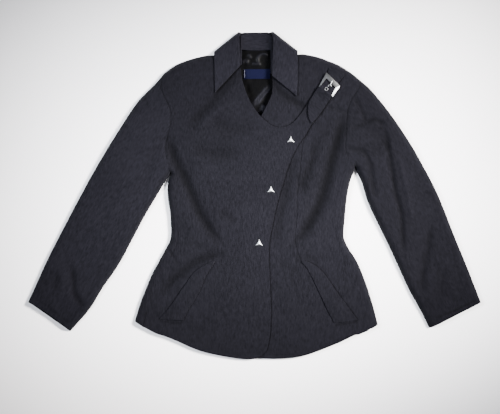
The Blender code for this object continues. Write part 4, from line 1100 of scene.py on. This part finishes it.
def woven_label():
    """Plain navy woven tape."""
    made, tree, shader = new_material("woven_label", "label")
    weft = noise_of(tree, stretched(tree, *LABEL_WEFT), roughness=ROUGH_NOISE)
    tree.links.new(ramp_of(tree, weft, LABEL_COLORS), shader.inputs["Base Color"])
    raised(tree, shader, weft, *LABEL_BUMP)
    return made


def silver(name):
    """Silver-coloured metal, with fine brushing along the buckle's far bar."""
    roughness, brushed, shade = METALS[name]
    made, tree, shader = new_material(name)
    grain = noise_of(tree, stretched(tree, *BRUSHING), roughness=ROUGH_NOISE)
    tree.links.new(ramp_of(tree, grain, METAL_COLORS, shade), shader.inputs["Base Color"])
    raised(tree, shader, grain, brushed, BRUSHING_DEPTH)
    shader.inputs["Metallic"].default_value = 1.0
    shader.inputs["Roughness"].default_value = roughness
    return made


def fine_copy(node, name, material, ease):
    """A finer piece from a copy of a small CAD solid: eased edges and smooth faces."""
    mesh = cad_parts[node].data.copy()
    mesh.name = name
    bm = bmesh.new()
    bm.from_mesh(mesh)
    bmesh.ops.remove_doubles(bm, verts=bm.verts, dist=WELD)
    bmesh.ops.join_triangles(bm, faces=bm.faces, angle_face_threshold=JOIN_TILT,
                             angle_shape_threshold=JOIN_SHAPE)
    bm.to_mesh(mesh)
    bm.free()
    mesh.shade_smooth()
    set_painted_shading(mesh, np.ones(len(mesh.vertices)))
    mesh.materials.clear()
    mesh.materials.append(material)
    made = linked(name, mesh)
    bevel = made.modifiers.new("eased edges", "BEVEL")
    bevel.width = ease * MM
    bevel.segments = EASE_STEPS
    bevel.harden_normals = True
    bevel.limit_method = "ANGLE"
    bevel.angle_limit = SKIN_ANGLE
    on_part(made, node)
    return made


def make_buckle():
    """The buckle's round prong, and its frame, brushed and painted dark as shade but for the near side
    bar, which is painted bright as a reflection.
    """
    prong = fine_copy("buckle_prong", "metal_buckle_prong", silver("prong_metal"), PRONG_EASE)
    fine = prong.modifiers.new("fine", "SUBSURF")
    fine.levels = 1
    fine.render_levels = 1
    buckle = fine_copy("buckle_frame", "metal_buckle_frame", silver("brushed_painted_shade_metal"),
                       BUCKLE_EASE)
    buckle.data.materials.append(silver("painted_glint_metal"))
    for face in buckle.data.polygons:
        along = (face.center.x * BUCKLE_ALONG[0] + face.center.y * BUCKLE_ALONG[1]) / MM
        face.material_index = 1 if along > BUCKLE_SIDE_FROM else 0


def make_trim():
    """Collar, welts, strap, lining, label and metal."""
    for node, cloth, ease in TRIM_CLOTH:
        fine_copy(node, "cloth_" + node, suiting(cloth), ease)
    make_lining()
    make_label_tack()
    fine_copy("neck_label", "label_tape", woven_label(), LABEL_EASE)
    bright = silver("bright_metal")
    for node in SNAPS:
        make_snap(node, bright)
    make_eyelet("eyelet_free", silver("eyelet_metal"))
    make_eyelet("eyelet_fastened", silver("dark_metal"))
    make_buckle()


def area_light(name, place, target, power, color):
    """A soft square lamp that shines at its target."""
    data = bpy.data.lights.new(name, "AREA")
    data.shape = "SQUARE"
    data.size = LAMP_SIDE
    data.energy = power
    data.color = color
    data.spread = LAMP_SPREAD
    made = linked(name, data)
    made.location = place
    direction = Vector(target) - Vector(place)
    made.rotation_euler = direction.to_track_quat("-Z", "Y").to_euler()


def make_studio():
    """Pale floor, two soft lamps and a soft surround."""
    bpy.ops.mesh.primitive_plane_add(size=FLOOR_SIDE, location=(0, 0, FLOOR_LEVEL))
    floor = bpy.context.object
    floor.name = "floor"
    floor.data.materials.append(new_material("paper", "paper")[0])
    for lamp in LAMPS:
        area_light(*lamp)
    world = bpy.data.worlds.new("surround")
    world.use_nodes = True
    background = world.node_tree.nodes["Background"]
    background.inputs["Color"].default_value = SURROUND_COLOR
    background.inputs["Strength"].default_value = SURROUND_STRENGTH
    bpy.context.scene.world = world


def make_camera():
    """Straight down on the garment, framed as the photograph is."""
    data = bpy.data.cameras.new("camera")
    data.sensor_width = SENSOR
    data.lens = SENSOR * CAMERA_HEIGHT / (IMAGE_WIDTH * PIXEL * MM)
    data.clip_end = CAMERA_CLIP
    made = linked("camera", data)
    made.location = (
        (IMAGE_WIDTH / 2 - ORIGIN_PIXEL[0]) * PIXEL * MM,
        (ORIGIN_PIXEL[1] - IMAGE_HEIGHT / 2) * PIXEL * MM,
        CAMERA_HEIGHT,
    )
    bpy.context.scene.camera = made


for panel in PANELS:
    make_panel(panel)
make_trim()
make_back()
make_studio()
make_camera()
